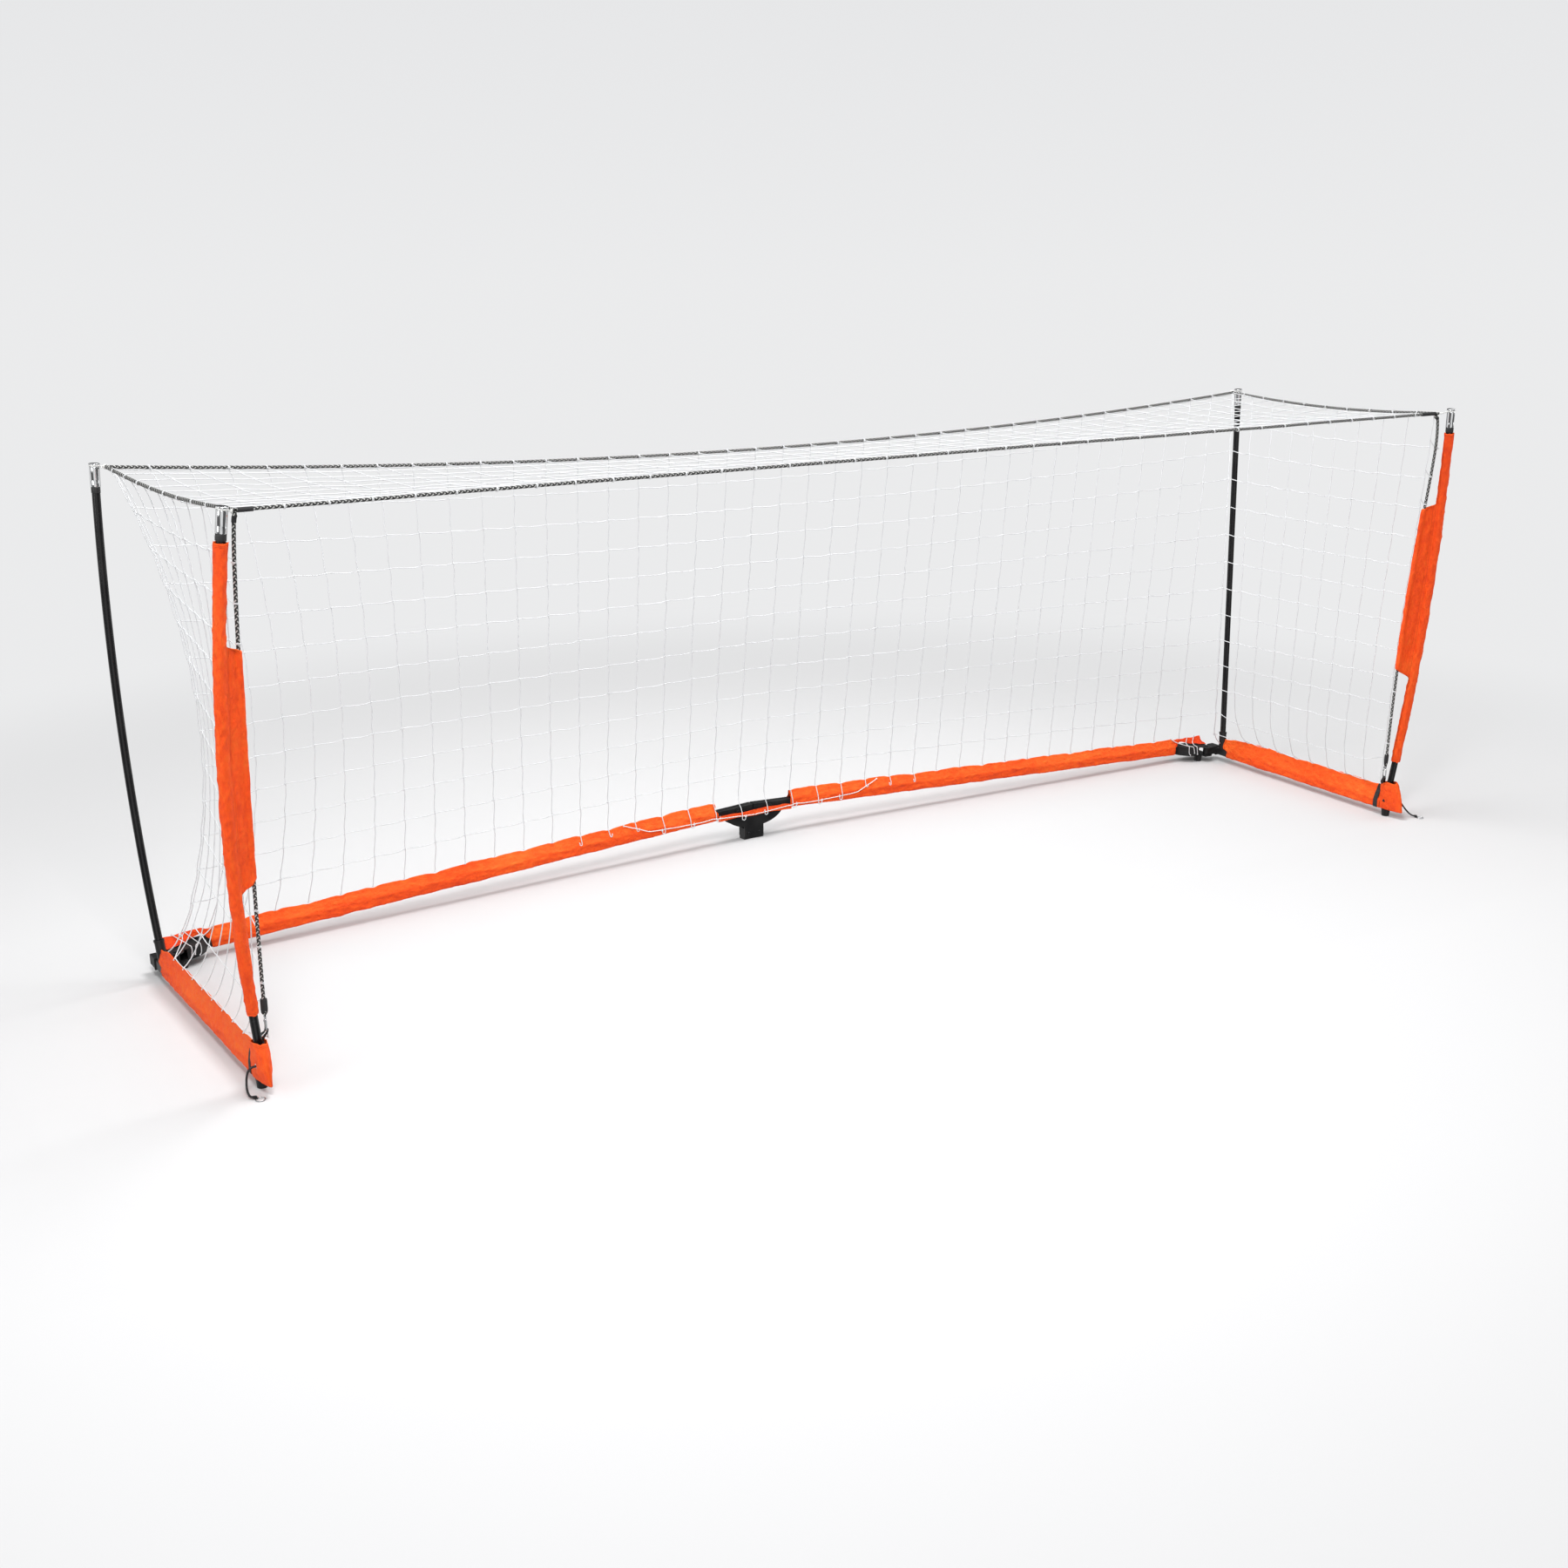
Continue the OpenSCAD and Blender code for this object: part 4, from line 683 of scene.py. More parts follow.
for s, side in sideNames.items():
    for which in ("front", "rear"):
        length = poleLength(which)
        t = np.linspace(-poleShape["seat"] / length, 1 - poleShape["ferrule"] / length + 0.004, 70)
        tube = tubePart(polePoint(which, t), poleShape["radius"], 28, caps=False)
        body = f"{side}_{which}_pole"
        pole = makePiece(f"{which}_pole_tube_{side}", [tube], "pole", body, s=s)
        top = poleTop(which)
        makePiece(f"{which}_ferrule_{side}", [lathePart(ferruleProfile[::-1], 36, top)], "chrome", body, s=s)
        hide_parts(f"{which}_pole_{side}")
        low = top.copy()
        low[:3, 3] -= low[:3, 2] * (poleShape["ferrule"] + 0.0004)
        collar = np.array(collarProfile[::-1]) * [1.0 if which == "front" else 0.92, 1.0]
        collar[:, 0] = np.maximum(collar[:, 0], poleShape["radius"])
        makePiece(f"{which}_collar_{side}", [lathePart(collar, 32, low)], "rubber", body, s=s)
print("poles made")

netShape = {"columns": 39, "rows": 13, "twine": 0.0021, "knot": 0.0042, "jog": 0.0045, "perCell": 5}
netCorner = rearCorner + [-0.0085, -0.0085, -0.0085]
netBase = np.array([sideOrigin[0] - 0.078, mouth["rear"][1] - 0.014, 0.170])
skirtTop = 0.0626


# How far the taut net draws in at the rear corner: 0.153 m times sine to the power 0.8
def drawIn(v):
    return 0.153 * np.maximum(np.sin(math.pi * v), 0) ** 0.8


# Rear corner edge: straight from the base to the top corner, then drawn in
def cornerEdge(v):
    v = np.clip(np.asarray(v, float), 0, 1)
    return mix(netBase, netCorner, v[..., None]) - drawIn(v)[..., None] * np.array([1, 1, 0])


# The rear sleeve's ridge under a given x
def skirtLine(x):
    run = ((x - hubPivot[0]) / math.cos(bend) - math.sin(tilt) * skirtTop) / math.cos(tilt)
    return barPoint(run, 0.0, skirtTop)


# Back net, right half: u from the middle to the corner, v from the bar to the rope.
# The corner's pull fades with the square of the distance over 1.7 m.
def backPoint(u, v):
    u, v = arrays(u, v)
    sign, a = np.where(u < 0, -1.0, 1.0), np.abs(u)
    low = skirtLine(netBase[0] * a)
    share = ease((a - 0.925) / 0.075)[..., None]
    low = mix(low, np.broadcast_to(netBase, low.shape), share)
    low[..., 0] = netBase[0] * a
    high = rearRope(netCorner[0] * a) - [0, 0, ropeRadius + 0.0003]
    high = mix(high, np.broadcast_to(netCorner, high.shape), (share > 0.999))
    straight = mix(low, high, v[..., None])
    near = np.clip(1 - (1 - a) * netBase[0] / 1.7, 0, 1)
    point = straight - (drawIn(v) * near * near)[..., None] * np.array([1, 1, 0])
    drift = 0.006 * noise(a * 14 + sign * 3, v * 5, 2) * np.sin(math.pi * v)
    point[..., 1] += drift * (1 - near)
    point[..., 0] *= sign
    return point


# Roof net: straight lines from the rear rope to the front rope, sagging by 35 mm
def roofPoint(u, v):
    u, v = arrays(u, v)
    reach = np.where(u < 0, frontCorner(-1)[0], frontCorner(1)[0]) - ropeRadius - 0.006
    front = np.stack([u * reach, np.full(u.shape, frontCorner(1)[1] + ropeRadius + 0.0005),
        np.full(u.shape, ropeZ)], -1)
    rear = rearRope(u * netCorner[0]) - [0, ropeRadius + 0.0005, 0]
    point = mix(rear, front, v[..., None])
    point[..., 2] -= 0.035 * np.sin(math.pi * v) + 0.004 * noise(u * 20, v * 6, 2) * np.sin(math.pi * v)
    return point


postX = mouth["front"][0] - 0.033
postEnds = (0.26, 2.0)


# Post rope: straight from the socket to the cap, behind the pole by 12 mm and bowed back by a half sine
# of 34 mm
def postAxis(z):
    z = np.asarray(z, float)
    t = (z - poleFoot) / poleRise
    y = mix(mouth["front"][1], cap["front"][1], t) + 0.012 + 0.034 * np.sin(math.pi * np.clip(t, 0, 1))
    return np.stack([np.full(z.shape, postX), y, z], -1)


# Border rope's top run: straight between the corners, sagging by a half sine of 24 mm
def borderTop(s, t):
    t = np.asarray(t, float)[..., None]
    return mix(rearCorner, frontCorner(s) + [0, 0.016, 0], t) - np.array([0, 0, 0.024]) * np.sin(math.pi * t)


# Side net: from the rear corner edge to the post rope, its top edge drawn up to the border rope
def sideNetPoint(s, u, v):
    u, v = arrays(u, v)
    rear = cornerEdge(v) - [0.006, 0.008, 0]
    rearTop = netCorner - [0.006, 0.008, 0]
    lowFront = np.array([mouth["front"][0] - 0.042, mouth["front"][1] + 0.034, 0.170])
    z = mix(lowFront[2], ropeZ - 0.060, v)
    post = postAxis(np.maximum(z, postEnds[0]))
    top = frontCorner(s)
    beside = post[..., 0] - 0.002
    edgeX = mix(mix(lowFront[0], beside, np.clip(v * 8, 0, 1)), np.minimum(beside, top[0]), v**4)
    edge = np.stack([edgeX, post[..., 1] + ropeRadius + 0.009, z], -1)
    edgeTop = postAxis(ropeZ - 0.060) + [-0.002, ropeRadius + 0.009, 0]
    edgeTop[0] = min(edgeTop[0], top[0])
    up = borderTop(s, u) - [0, 0, ropeRadius + 0.0003]
    up = np.where((u <= 0)[..., None], rearTop, up)
    up = np.where((u >= 1)[..., None], top + [-0.004, ropeRadius + 0.004, -0.010], up)
    flat = mix(rear, edge, u[..., None])
    point = flat + (up - mix(rearTop, edgeTop, u[..., None])) * (v**3)[..., None]
    # the foot is drawn down to the side sleeve's ridge, all but its two ends
    flare = (1 - np.clip(v / 0.16, 0, 1)) ** 2 * ease(u / 0.12) * ease((1 - u) / 0.12)
    return mix(point, sidePoint(0.0, mix(-0.135, -1.185, u), 0.0945), flare[..., None])


ballSides, ballRings = 6, 4


# Little knot: a ball of quads, stretched and turned a little
def knotPart(centre, size, spin):
    lat = np.linspace(-math.pi / 2, math.pi / 2, ballRings + 1)
    lon = ringAngles(ballSides) + spin
    x = np.cos(lat)[:, None] * np.cos(lon)[None] * size[0]
    y = np.cos(lat)[:, None] * np.sin(lon)[None] * size[1]
    z = np.repeat(np.sin(lat)[:, None], ballSides, 1) * size[2]
    return gridPart(np.stack([x, y, z], -1) + centre, around=True)


# One strand between grid corners: it steps to the side at each knot by the jog
def strandPath(surface, fixed, cells, alongU, jog):
    n, perCell = len(cells) - 1, netShape["perCell"]
    k = np.arange(n * perCell + 1) / perCell
    t = np.interp(k, np.arange(n + 1), cells)
    frac = k - np.floor(k)
    lean = jog * (frac - 0.5) * 2 * np.minimum(1, np.minimum(frac, 1 - frac) * 6)
    point = surface(t, np.full(t.shape, fixed)) if alongU else surface(np.full(t.shape, fixed), t)
    return point, lean


# A surface's point at one pair of values
def pointOn(surface, u, v):
    return surface(np.array([u]), np.array([v]))[0]


# Knotted net over a surface: a strand for each u and each v, sagging between its knots by a half sine,
# and a knot where they cross
def netParts(surface, us, vs, sideWay, downWay, lastU=True, firstV=True, lastV=True, rowSag=0.004):
    parts = []
    jog, twine = netShape["jog"], netShape["twine"]
    for i, u in enumerate(us):
        if i == len(us) - 1 and not lastU:
            continue
        path, lean = strandPath(surface, u, vs, False, jog)
        parts.append(tubePart(path + lean[:, None] * sideWay, twine, 5, caps=False,
            ref=np.cross(sideWay, downWay)))
    for j, v in enumerate(vs):
        if (j == 0 and not firstV) or (j == len(vs) - 1 and not lastV):
            continue
        path, lean = strandPath(surface, v, us, True, jog)
        k = np.arange(len(path)) / netShape["perCell"]
        sag = rowSag * np.sin(math.pi * (k - np.floor(k)))
        parts.append(tubePart(path + (lean * 0.8 + sag)[:, None] * downWay, twine, 5, caps=False,
            ref=np.cross(sideWay, downWay)))
    for i, u in enumerate(us):
        for j, v in enumerate(vs):
            if (i == len(us) - 1 and not lastU) or (j == len(vs) - 1 and not lastV) or (j == 0 and not firstV):
                continue
            spin = noiseTable[(i * 7) % 96, (j * 13) % 96] * 3
            size = (netShape["knot"] * np.array([0.85, 0.85, 1.15])
                * (1 + 0.15 * noiseTable[j % 96, (i * 5) % 96]))
            parts.append(knotPart(pointOn(surface, u, v), size, spin))
    return parts


columns, rows = netShape["columns"], netShape["rows"]
allU = np.linspace(-1, 1, columns + 1)
allV = np.linspace(0, 1, rows + 1)
cuts = [0, 10, 20, 30, 39]
alongX, frontward, downward = np.array([1.0, 0, 0]), np.array([0, -1.0, 0]), np.array([0, 0, -1.0])
pieceNames = ["left_end", "left_middle", "right_middle", "right_end"]


# A net or rope piece: its placement is baked into its points
def blendSpan(piece):
    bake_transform(piece)


# The lacing cord's way along a bar: on the sleeve's face, then up its slope to the ridge
lacingLane = np.array([(0.143, -0.0262, -0.006), (0.225, -0.0262, -0.009), (0.315, -0.0262, -0.003),
    (0.405, -0.0262, 0.002), (0.485, -0.0264, 0.009), (0.515, -0.0258, 0.0195), (0.545, -0.0203, 0.0325),
    (0.577, -0.0150, 0.0440), (0.615, -0.0078, 0.0590)])
loopShape = {"cord": 0.62, "short": 1.0, "twine": 0.0021}


# White twine from the net's foot, over the cloth's ridge and down to a U round the lacing cord;
# past the cord's end it only hooks into the cloth's slope, and further out it stops at the ridge
def barLoop(x, index):
    s = -1.0 if x < 0 else 1.0
    a = abs(x)
    run = ((a - hubPivot[0]) / math.cos(bend)) / math.cos(tilt)
    chance = noiseTable[index % 96]
    wobble, drop = 0.006 * chance[5], 0.004 * chance[9]
    size = 1.0
    if a > loopShape["short"]:
        top = barPoint(run, -0.001, 0.0635)
        top[0] *= s
        return [knotPart(top, (0.0044, 0.0040, 0.0042), 0.4)]
    if a < 0.2:
        lane = [(0.0, 0.0650), (-0.006, 0.045), (-0.0150, 0.0245), (-0.0245, 0.016), (-0.0345, -0.006),
            (-0.0375, -0.022), (-0.0380, -0.036)]
        front, cordZ = -0.0385, -0.026 + drop
    elif a < loopShape["cord"]:
        front = float(np.interp(run, lacingLane[:, 0], lacingLane[:, 1])) - 0.0033
        cordZ = float(np.interp(run, lacingLane[:, 0], lacingLane[:, 2])) - 0.003
        lane = [q for q in [(0.0, 0.0650), (-0.0046, 0.0610), (-0.0105, 0.048), (-0.0190, 0.030),
            (-0.0260, 0.014)] if q[1] > cordZ + 0.012]
        lane.append((front + 0.001, cordZ + 0.006))
    else:
        lane = [(0.0, 0.0650), (-0.0046, 0.0610), (-0.0105, 0.048), (-0.0165, 0.0385)]
        front, cordZ, size = -0.0200, 0.0330 + drop, 0.6
    width = (0.0075 + 0.003 * abs(chance[11])) * size
    way = 1.0 if chance[13] > -0.3 else -1.0
    pts = [(run + wobble * k / len(lane), y, z) for k, (y, z) in enumerate(lane)]
    x0 = pts[-1][0]
    for angle in (40, 90, 140):
        c, d = math.cos(math.radians(angle)), math.sin(math.radians(angle))
        pts.append((x0 + way * width * (1 - c), front, cordZ - 0.004 * size - d * 0.012 * size))
    pts.append((x0 + way * 2 * width, front, cordZ + 0.002))
    pts.append((x0 + way * (2 * width + 0.001), front + (0.001 if size < 1 else -0.001), cordZ + 0.010 * size))
    p = barPoint(*np.array(pts).T)
    p[:, 0] *= s
    knotAt = barPoint(x0 + way * 2 * width, front - 0.0005, cordZ + 0.001)
    knotAt[0] *= s
    return [tubePart(smoothPath(p, 0.006), loopShape["twine"], 6),
        knotPart(knotAt, (0.0050 * size + 0.0004, 0.0042 * size, 0.0046 * size), 0.4)]


sideTieY = [-0.135 - 1.05 * k / 9 for k in range(1, 9)]
# Loose ends by the corner: over the flap and the casing's rim, crossing one another; bar places in metres
cornerStrands = [
    [(2.640, 0.001, 0.066), (2.628, -0.010, 0.052), (2.615, -0.0235, 0.0375), (2.606, -0.050, 0.0295),
        (2.601, -0.0665, 0.0275), (2.599, -0.0705, 0.012), (2.601, -0.0715, -0.010), (2.608, -0.0735, -0.018)],
    [(2.520, 0.001, 0.066), (2.548, -0.012, 0.047), (2.580, -0.0265, 0.0345), (2.606, -0.060, 0.0285),
        (2.620, -0.0775, 0.0270), (2.625, -0.0820, 0.010), (2.629, -0.0825, -0.008)],
    [(2.690, 0.001, 0.066), (2.672, -0.013, 0.050), (2.655, -0.030, 0.0365), (2.644, -0.062, 0.0295),
        (2.641, -0.0835, 0.0275), (2.641, -0.0875, 0.012), (2.646, -0.0870, -0.014)],
]


# The loose ends as tubes with a knot at both ends, and the twine that holds the net's lower corner
def cornerTies():
    parts = []
    for n, lane in enumerate(cornerStrands):
        path = smoothPath(barPoint(*np.array(lane).T), 0.005)
        parts += [tubePart(path, 0.0021, 6), knotPart(path[-1], (0.0036, 0.0034, 0.0034), n * 0.7),
            knotPart(path[0], (0.0036, 0.0034, 0.0036), n * 0.5)]
    # from the net's lower corner down to the rear socket's foot
    foot = sidePoint(0.003, socketY["rear"], 0.036)
    near = foot + [-0.0235, -0.006, 0.012]
    parts.append(tubePart(smoothPath([netBase, mix(netBase, near, 0.5) + [0, 0, -0.010], near], 0.006),
        0.0026, 6))
    parts.append(knotPart(netBase, (0.007, 0.007, 0.009), 0.3))
    return parts


for n in range(4):
    us = allU[cuts[n]:cuts[n + 1] + 1]
    last = n == 3
    parts = netParts(backPoint, us, allV, alongX, downward, lastU=last, firstV=False)
    if n in (0, 3):
        flip = 1 if n == 3 else -1
        parts += [(p * [flip, 1, 1], q[:, ::flip], t[:, ::flip]) for p, q, t in cornerTies()]
    for i, u in enumerate(us[: len(us) if last else -1]):
        x = u * netBase[0]
        if abs(u) < 0.93:
            parts += barLoop(x, cuts[n] + i)
    piece = makePiece(f"back_net_{pieceNames[n]}", parts, "twine")
    blendSpan(piece)
    if n == 0:
        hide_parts("net_back")
    roofRows = np.linspace(0, 1, 11)
    roof = makePiece(f"roof_net_{pieceNames[n]}", netParts(roofPoint, us, roofRows, alongX, frontward,
        lastU=last, firstV=False, lastV=False, rowSag=0.003), "twine")
    blendSpan(roof)
    if n == 0:
        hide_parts("net_roof")
for s, side in sideNames.items():
    us, vs = np.linspace(0, 1, 10), np.linspace(0, 1, rows + 1)
    parts = netParts(lambda u, v: sideNetPoint(s, u, v), us, vs, frontward, downward, lastV=False)
    for k, u in enumerate(us[1:-1]):
        low = sideNetPoint(s, np.array([u]), np.array([0.0]))[0]
        y = sideTieY[k]
        hook = [low, sidePoint(0.0030, y, 0.0932), sidePoint(0.0054, y - 0.001, 0.0885)]
        parts += [tubePart(smoothPath(hook, 0.004), 0.0017, 6),
            knotPart(hook[-1], (0.0028, 0.0030, 0.0028), k * 0.6)]
    piece = makePiece(f"side_net_{side}", parts, "twine", f"{side}_side", s=s)
    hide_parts(f"net_side_{side}")
print("nets made")

ropeLook = {"sides": 12, "step": 0.006}
tieShape = {"radius": ropeRadius + 0.0012, "wire": 0.0016}


# Braided rope: the radius swells in a diamond pattern that turns with the braid
def ropePart(path):
    sides = ropeLook["sides"]
    run, angle = runAlong(path)[:, None] * 660, 4 * ringAngles(sides)[None]
    swell = np.sin(angle + run) * np.sin(angle - run)
    return tubePart(path, ropeRadius * (0.97 + 0.05 * swell), sides)


# Twine turns that hold the net to a rope: rings round the rope at each mesh
def ringPart(centre, way, radius, wire, turns):
    a = np.linspace(0, 2 * math.pi * turns, int(14 * turns) + 1)
    m = matrixAt(centre, way, (0.3, 0.2, 1))
    local = np.stack([radius * np.cos(a), radius * np.sin(a), (a / (2 * math.pi) - turns / 2) * wire * 2.1], -1)
    return tubePart(local @ m[:3, :3].T + m[:3, 3], wire, 5, caps=False)


# Two turns of the net's twine round a top rope
def tieRing(centre, way):
    return ringPart(centre, way, tieShape["radius"], tieShape["wire"], 2)


frontLine = {s: frontCorner(s)[0] - ropeRadius - 0.0003 for s in sideNames}
rearEnd = rearCorner[0] - ropeRadius - 0.0012
innerCuts = [allU[k] * netCorner[0] for k in cuts[1:-1]]
frontCuts, rearCuts = [-frontLine[-1], *innerCuts, frontLine[1]], [-rearEnd, *innerCuts, rearEnd]
for n in range(4):
    a, b = frontCuts[n], frontCuts[n + 1]
    x = np.linspace(a, b, int((b - a) / ropeLook["step"]))
    line = np.stack([x, np.full(x.shape, frontCorner(1)[1]), np.full(x.shape, ropeZ)], -1)
    line[:, 2] += 0.0012 * noise(x * 3, 0.5)
    front = makePiece(f"front_rope_{pieceNames[n]}", [ropePart(line)], "rope")
    a, b = rearCuts[n], rearCuts[n + 1]
    x = np.linspace(a, b, int((b - a) / ropeLook["step"]))
    rear = makePiece(f"rear_rope_{pieceNames[n]}", [ropePart(rearRope(x))], "rope")
    ties = []
    for u in allU[cuts[n]:cuts[n + 1] + (1 if n == 3 else 0)]:
        if abs(u) > 0.97:
            continue
        ties.append(tieRing(pointOn(roofPoint, u, 1.0) - [0, ropeRadius + 0.0005, 0], (1, 0.1, 0)))
        ties.append(tieRing(rearRope(np.array([u * netCorner[0]]))[0], (1, 0.1, 0)))
    tied = makePiece(f"net_ties_{pieceNames[n]}", ties, "twine")
    for piece in (front, rear, tied):
        blendSpan(piece)
    if n == 0:
        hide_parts("front_top_rope")
        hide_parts("rear_top_rope")


# The post rope's point at a share of its height
def postAt(t):
    return postAxis(mix(*postEnds, np.asarray(t, float)))


# Border rope's points: along the side's top edge, round the front corner and down the post
def borderPath(s):
    f = frontCorner(s)
    pts = [rearCorner + [0, ropeRadius, 0]] + [borderTop(s, np.array(t)) for t in (0.25, 0.5, 0.75)]
    pts += [f + [0, 0.016, 0], f + [0, 0.004, -0.004], f + [0, 0.001, -0.016]]
    pts += [mix(f, postAt(0.93), 0.35), mix(f, postAt(0.885), 0.8)]
    pts += [postAt(t) for t in (0.8, 0.667, 0.534, 0.401, 0.268, 0.135, 0.0)]
    return np.array(pts)


sockShape = {"low": 0.262, "high": 0.318, "radius": 0.0088}
for s, side in sideNames.items():
    path = smoothPath(borderPath(s), ropeLook["step"])
    rope = makePiece(f"border_rope_{side}_side", [ropePart(path)], "rope", f"{side}_side", s=s)
    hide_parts(f"border_rope_{side}")
    ties = []
    for t in np.linspace(0.07, 0.93, 9):
        at = borderTop(s, np.array(t))
        ties.append(tieRing(at, unit(borderTop(s, np.array(t + 0.01)) - at)))
    for v in np.linspace(0.06, 0.95, 12):
        z = mix(0.28, 1.90, v)
        at = postAxis(z)
        ties.append(tieRing(at, unit(postAxis(z + 0.01) - at)))
        hook = sideNetPoint(s, np.array([1.0]), np.array([(z - 0.17) / (ropeZ - 0.06 - 0.17)]))[0]
        ties.append(tubePart(smoothPath([at + [0, ropeRadius, 0], mix(at, hook, 0.7) + [0, 0.002, -0.003],
            hook], 0.004), tieShape["wire"], 5, caps=False))
    makePiece(f"border_ties_{side}", ties, "twine", f"{side}_side", s=s)
    # black whipping where the ropes meet at the front corner
    f = frontCorner(s)
    span = 0.030 if s < 0 else 0.074
    x = np.linspace(frontLine[s] - span - 0.02, frontLine[s] - 0.002, int(span / 0.0011) + 20)
    wrap = np.stack([x, np.full(x.shape, f[1]), np.full(x.shape, ropeZ)], -1)
    run = np.arange(len(x))
    whip = tubePart(wrap, tieShape["radius"] + 0.0005 * np.cos(run * 2.1), 16)
    # it runs on over the rope's bend and down the post rope
    after = path[int(np.argmin(np.linalg.norm(path - (f + [0, 0.001, -0.016]), axis=1))):]
    after = smoothPath(after[:5], 0.0011)
    bendWhip = tubePart(after, tieShape["radius"] + 0.0005 * np.cos(np.arange(len(after)) * 2.1), 16)
    makePiece(f"corner_whipping_{side}", [whip, bendWhip], "webbing", f"{side}_side", s=s)
    z = np.linspace(sockShape["low"], sockShape["high"], 40)
    k = np.clip((z - sockShape["low"]) / (sockShape["high"] - sockShape["low"]), 0, 1)
    angle = ringAngles(20)
    broad = (np.interp(k, [0, 0.12, 0.3, 0.9, 1], [0.0085, 0.0115, 0.0125, 0.0122, 0.0112])
        + 0.0003 * np.sin(z * 2600))
    thin = np.interp(k, [0, 0.2, 0.5, 1], [0.0030, 0.0060, 0.0088, 0.0090])
    axis = postAxis(z)
    sockGrid = axis[:, None] + np.stack([broad[:, None] * np.cos(angle)[None],
        thin[:, None] * np.sin(angle)[None], np.zeros((40, 20))], -1)
    lowMiddle = sockGrid[:1].mean(1, keepdims=True)
    ends = [mix(lowMiddle, sockGrid[:1], 0.02), sockGrid, mix(axis[-1:, None], sockGrid[-1:], 0.6)]
    sock = gridPart(np.concatenate(ends, 0), around=True)
    loop = [(-0.003, 0.004), (-0.0042, -0.006), (-0.003, -0.0115), (0, -0.0135), (0.003, -0.0115),
        (0.0042, -0.006), (0.003, 0.004)]
    loopPath = smoothPath([postAxis(0.263) + [0, y, z] for y, z in loop], 0.002)
    makePiece(f"rope_sock_{side}", [sock, tubePart(loopPath, 0.0022, 8)], "webbing", f"{side}_side", s=s)
print("ropes made")

clothShape = {"thickness": 0.0012, "ring": 60}


# Closed outline of a sleeve over a square bar, evenly spaced: flat under the bar, a ridge on top
def sleeveOutline(half, ridge, under):
    corners = [(0.0, -half - under), (half * 0.92, -half - under), (half + 0.0015, -half + 0.002),
        (half + 0.0015, half - 0.003), (half * 0.64, mix(half, ridge, 0.36)),
        (half * 0.28, mix(half, ridge, 0.72)), (0.0020, ridge)]
    loop = np.array(corners + [(-y, z) for y, z in corners[::-1]][:-1] + [corners[0]])
    run = runAlong(loop)
    t = np.linspace(0, run[-1], clothShape["ring"], endpoint=False)
    return np.stack([np.interp(t, run, loop[:, 0]), np.interp(t, run, loop[:, 1])], -1), t / run[-1], run[-1]


# Sleeve along a bar: the outline is pressed in at the net's loops and creased
def sleeveGrid(xs, half, ridge, under, seed, pinch, creases, calm=0.0):
    outline, share, girth = sleeveOutline(half, ridge, under)
    out = unit(outline - [0, outline[:, 1].mean() * 0.2])
    top = np.clip((outline[:, 1] - half) / (ridge - half), 0, 1)
    low = np.clip(-(outline[:, 1] + half * 0.4) / (half * 0.6), 0, 1)
    x = xs[:, None]
    slack = (0.45 * noise(x * 9 + share[None] * 11 + seed, share[None] * 6 + seed * 2, 2)
        + 0.9 * folds(x, share[None] * 1.4, seed))
    push = (creases * np.maximum(slack * (1 - 0.65 * pinch[:, None]), -0.2)
        * (1 - np.broadcast_to(calm, xs.shape))[:, None])
    ridgeMove = 0.0034 * noise(xs * 7 + seed, 3.1, 2) + 0.0020 * noise(xs * 23 + seed, 5.3, 2) - 0.0045 * pinch
    grid = np.zeros((len(xs), len(outline), 2))
    grid[..., 0] = (outline[None, :, 0] + out[None, :, 0] * push * (1 - 0.5 * top[None])
        + top[None] * 0.003 * noise(xs * 4 + seed, 1.7, 2)[:, None])
    grid[..., 1] = outline[None, :, 1] + out[None, :, 1] * push * 0.4 + top[None] * ridgeMove[:, None]
    grid[..., 1] -= low[None] * 0.0032 * np.abs(noise(xs * 8 + seed * 3, 8.2, 3))[:, None]
    return grid, girth


# Outer skin and inner skin a cloth's thickness apart, joined at the ends
def skinParts(grid, inward, girth, flip=False):
    rings = np.concatenate([grid, (grid + inward * clothShape["thickness"])[::-1]], 0)
    return [gridPart(rings, around=True, across=girth, flip=flip)]


# Distances from a sleeve's nearer end, for its outer rows and then its inner ones
def endHem(xs, cols):
    rows = np.repeat(np.minimum(xs - xs[0], xs[-1] - xs)[:, None], cols, 1)
    return np.concatenate([rows, rows[::-1]], 0)


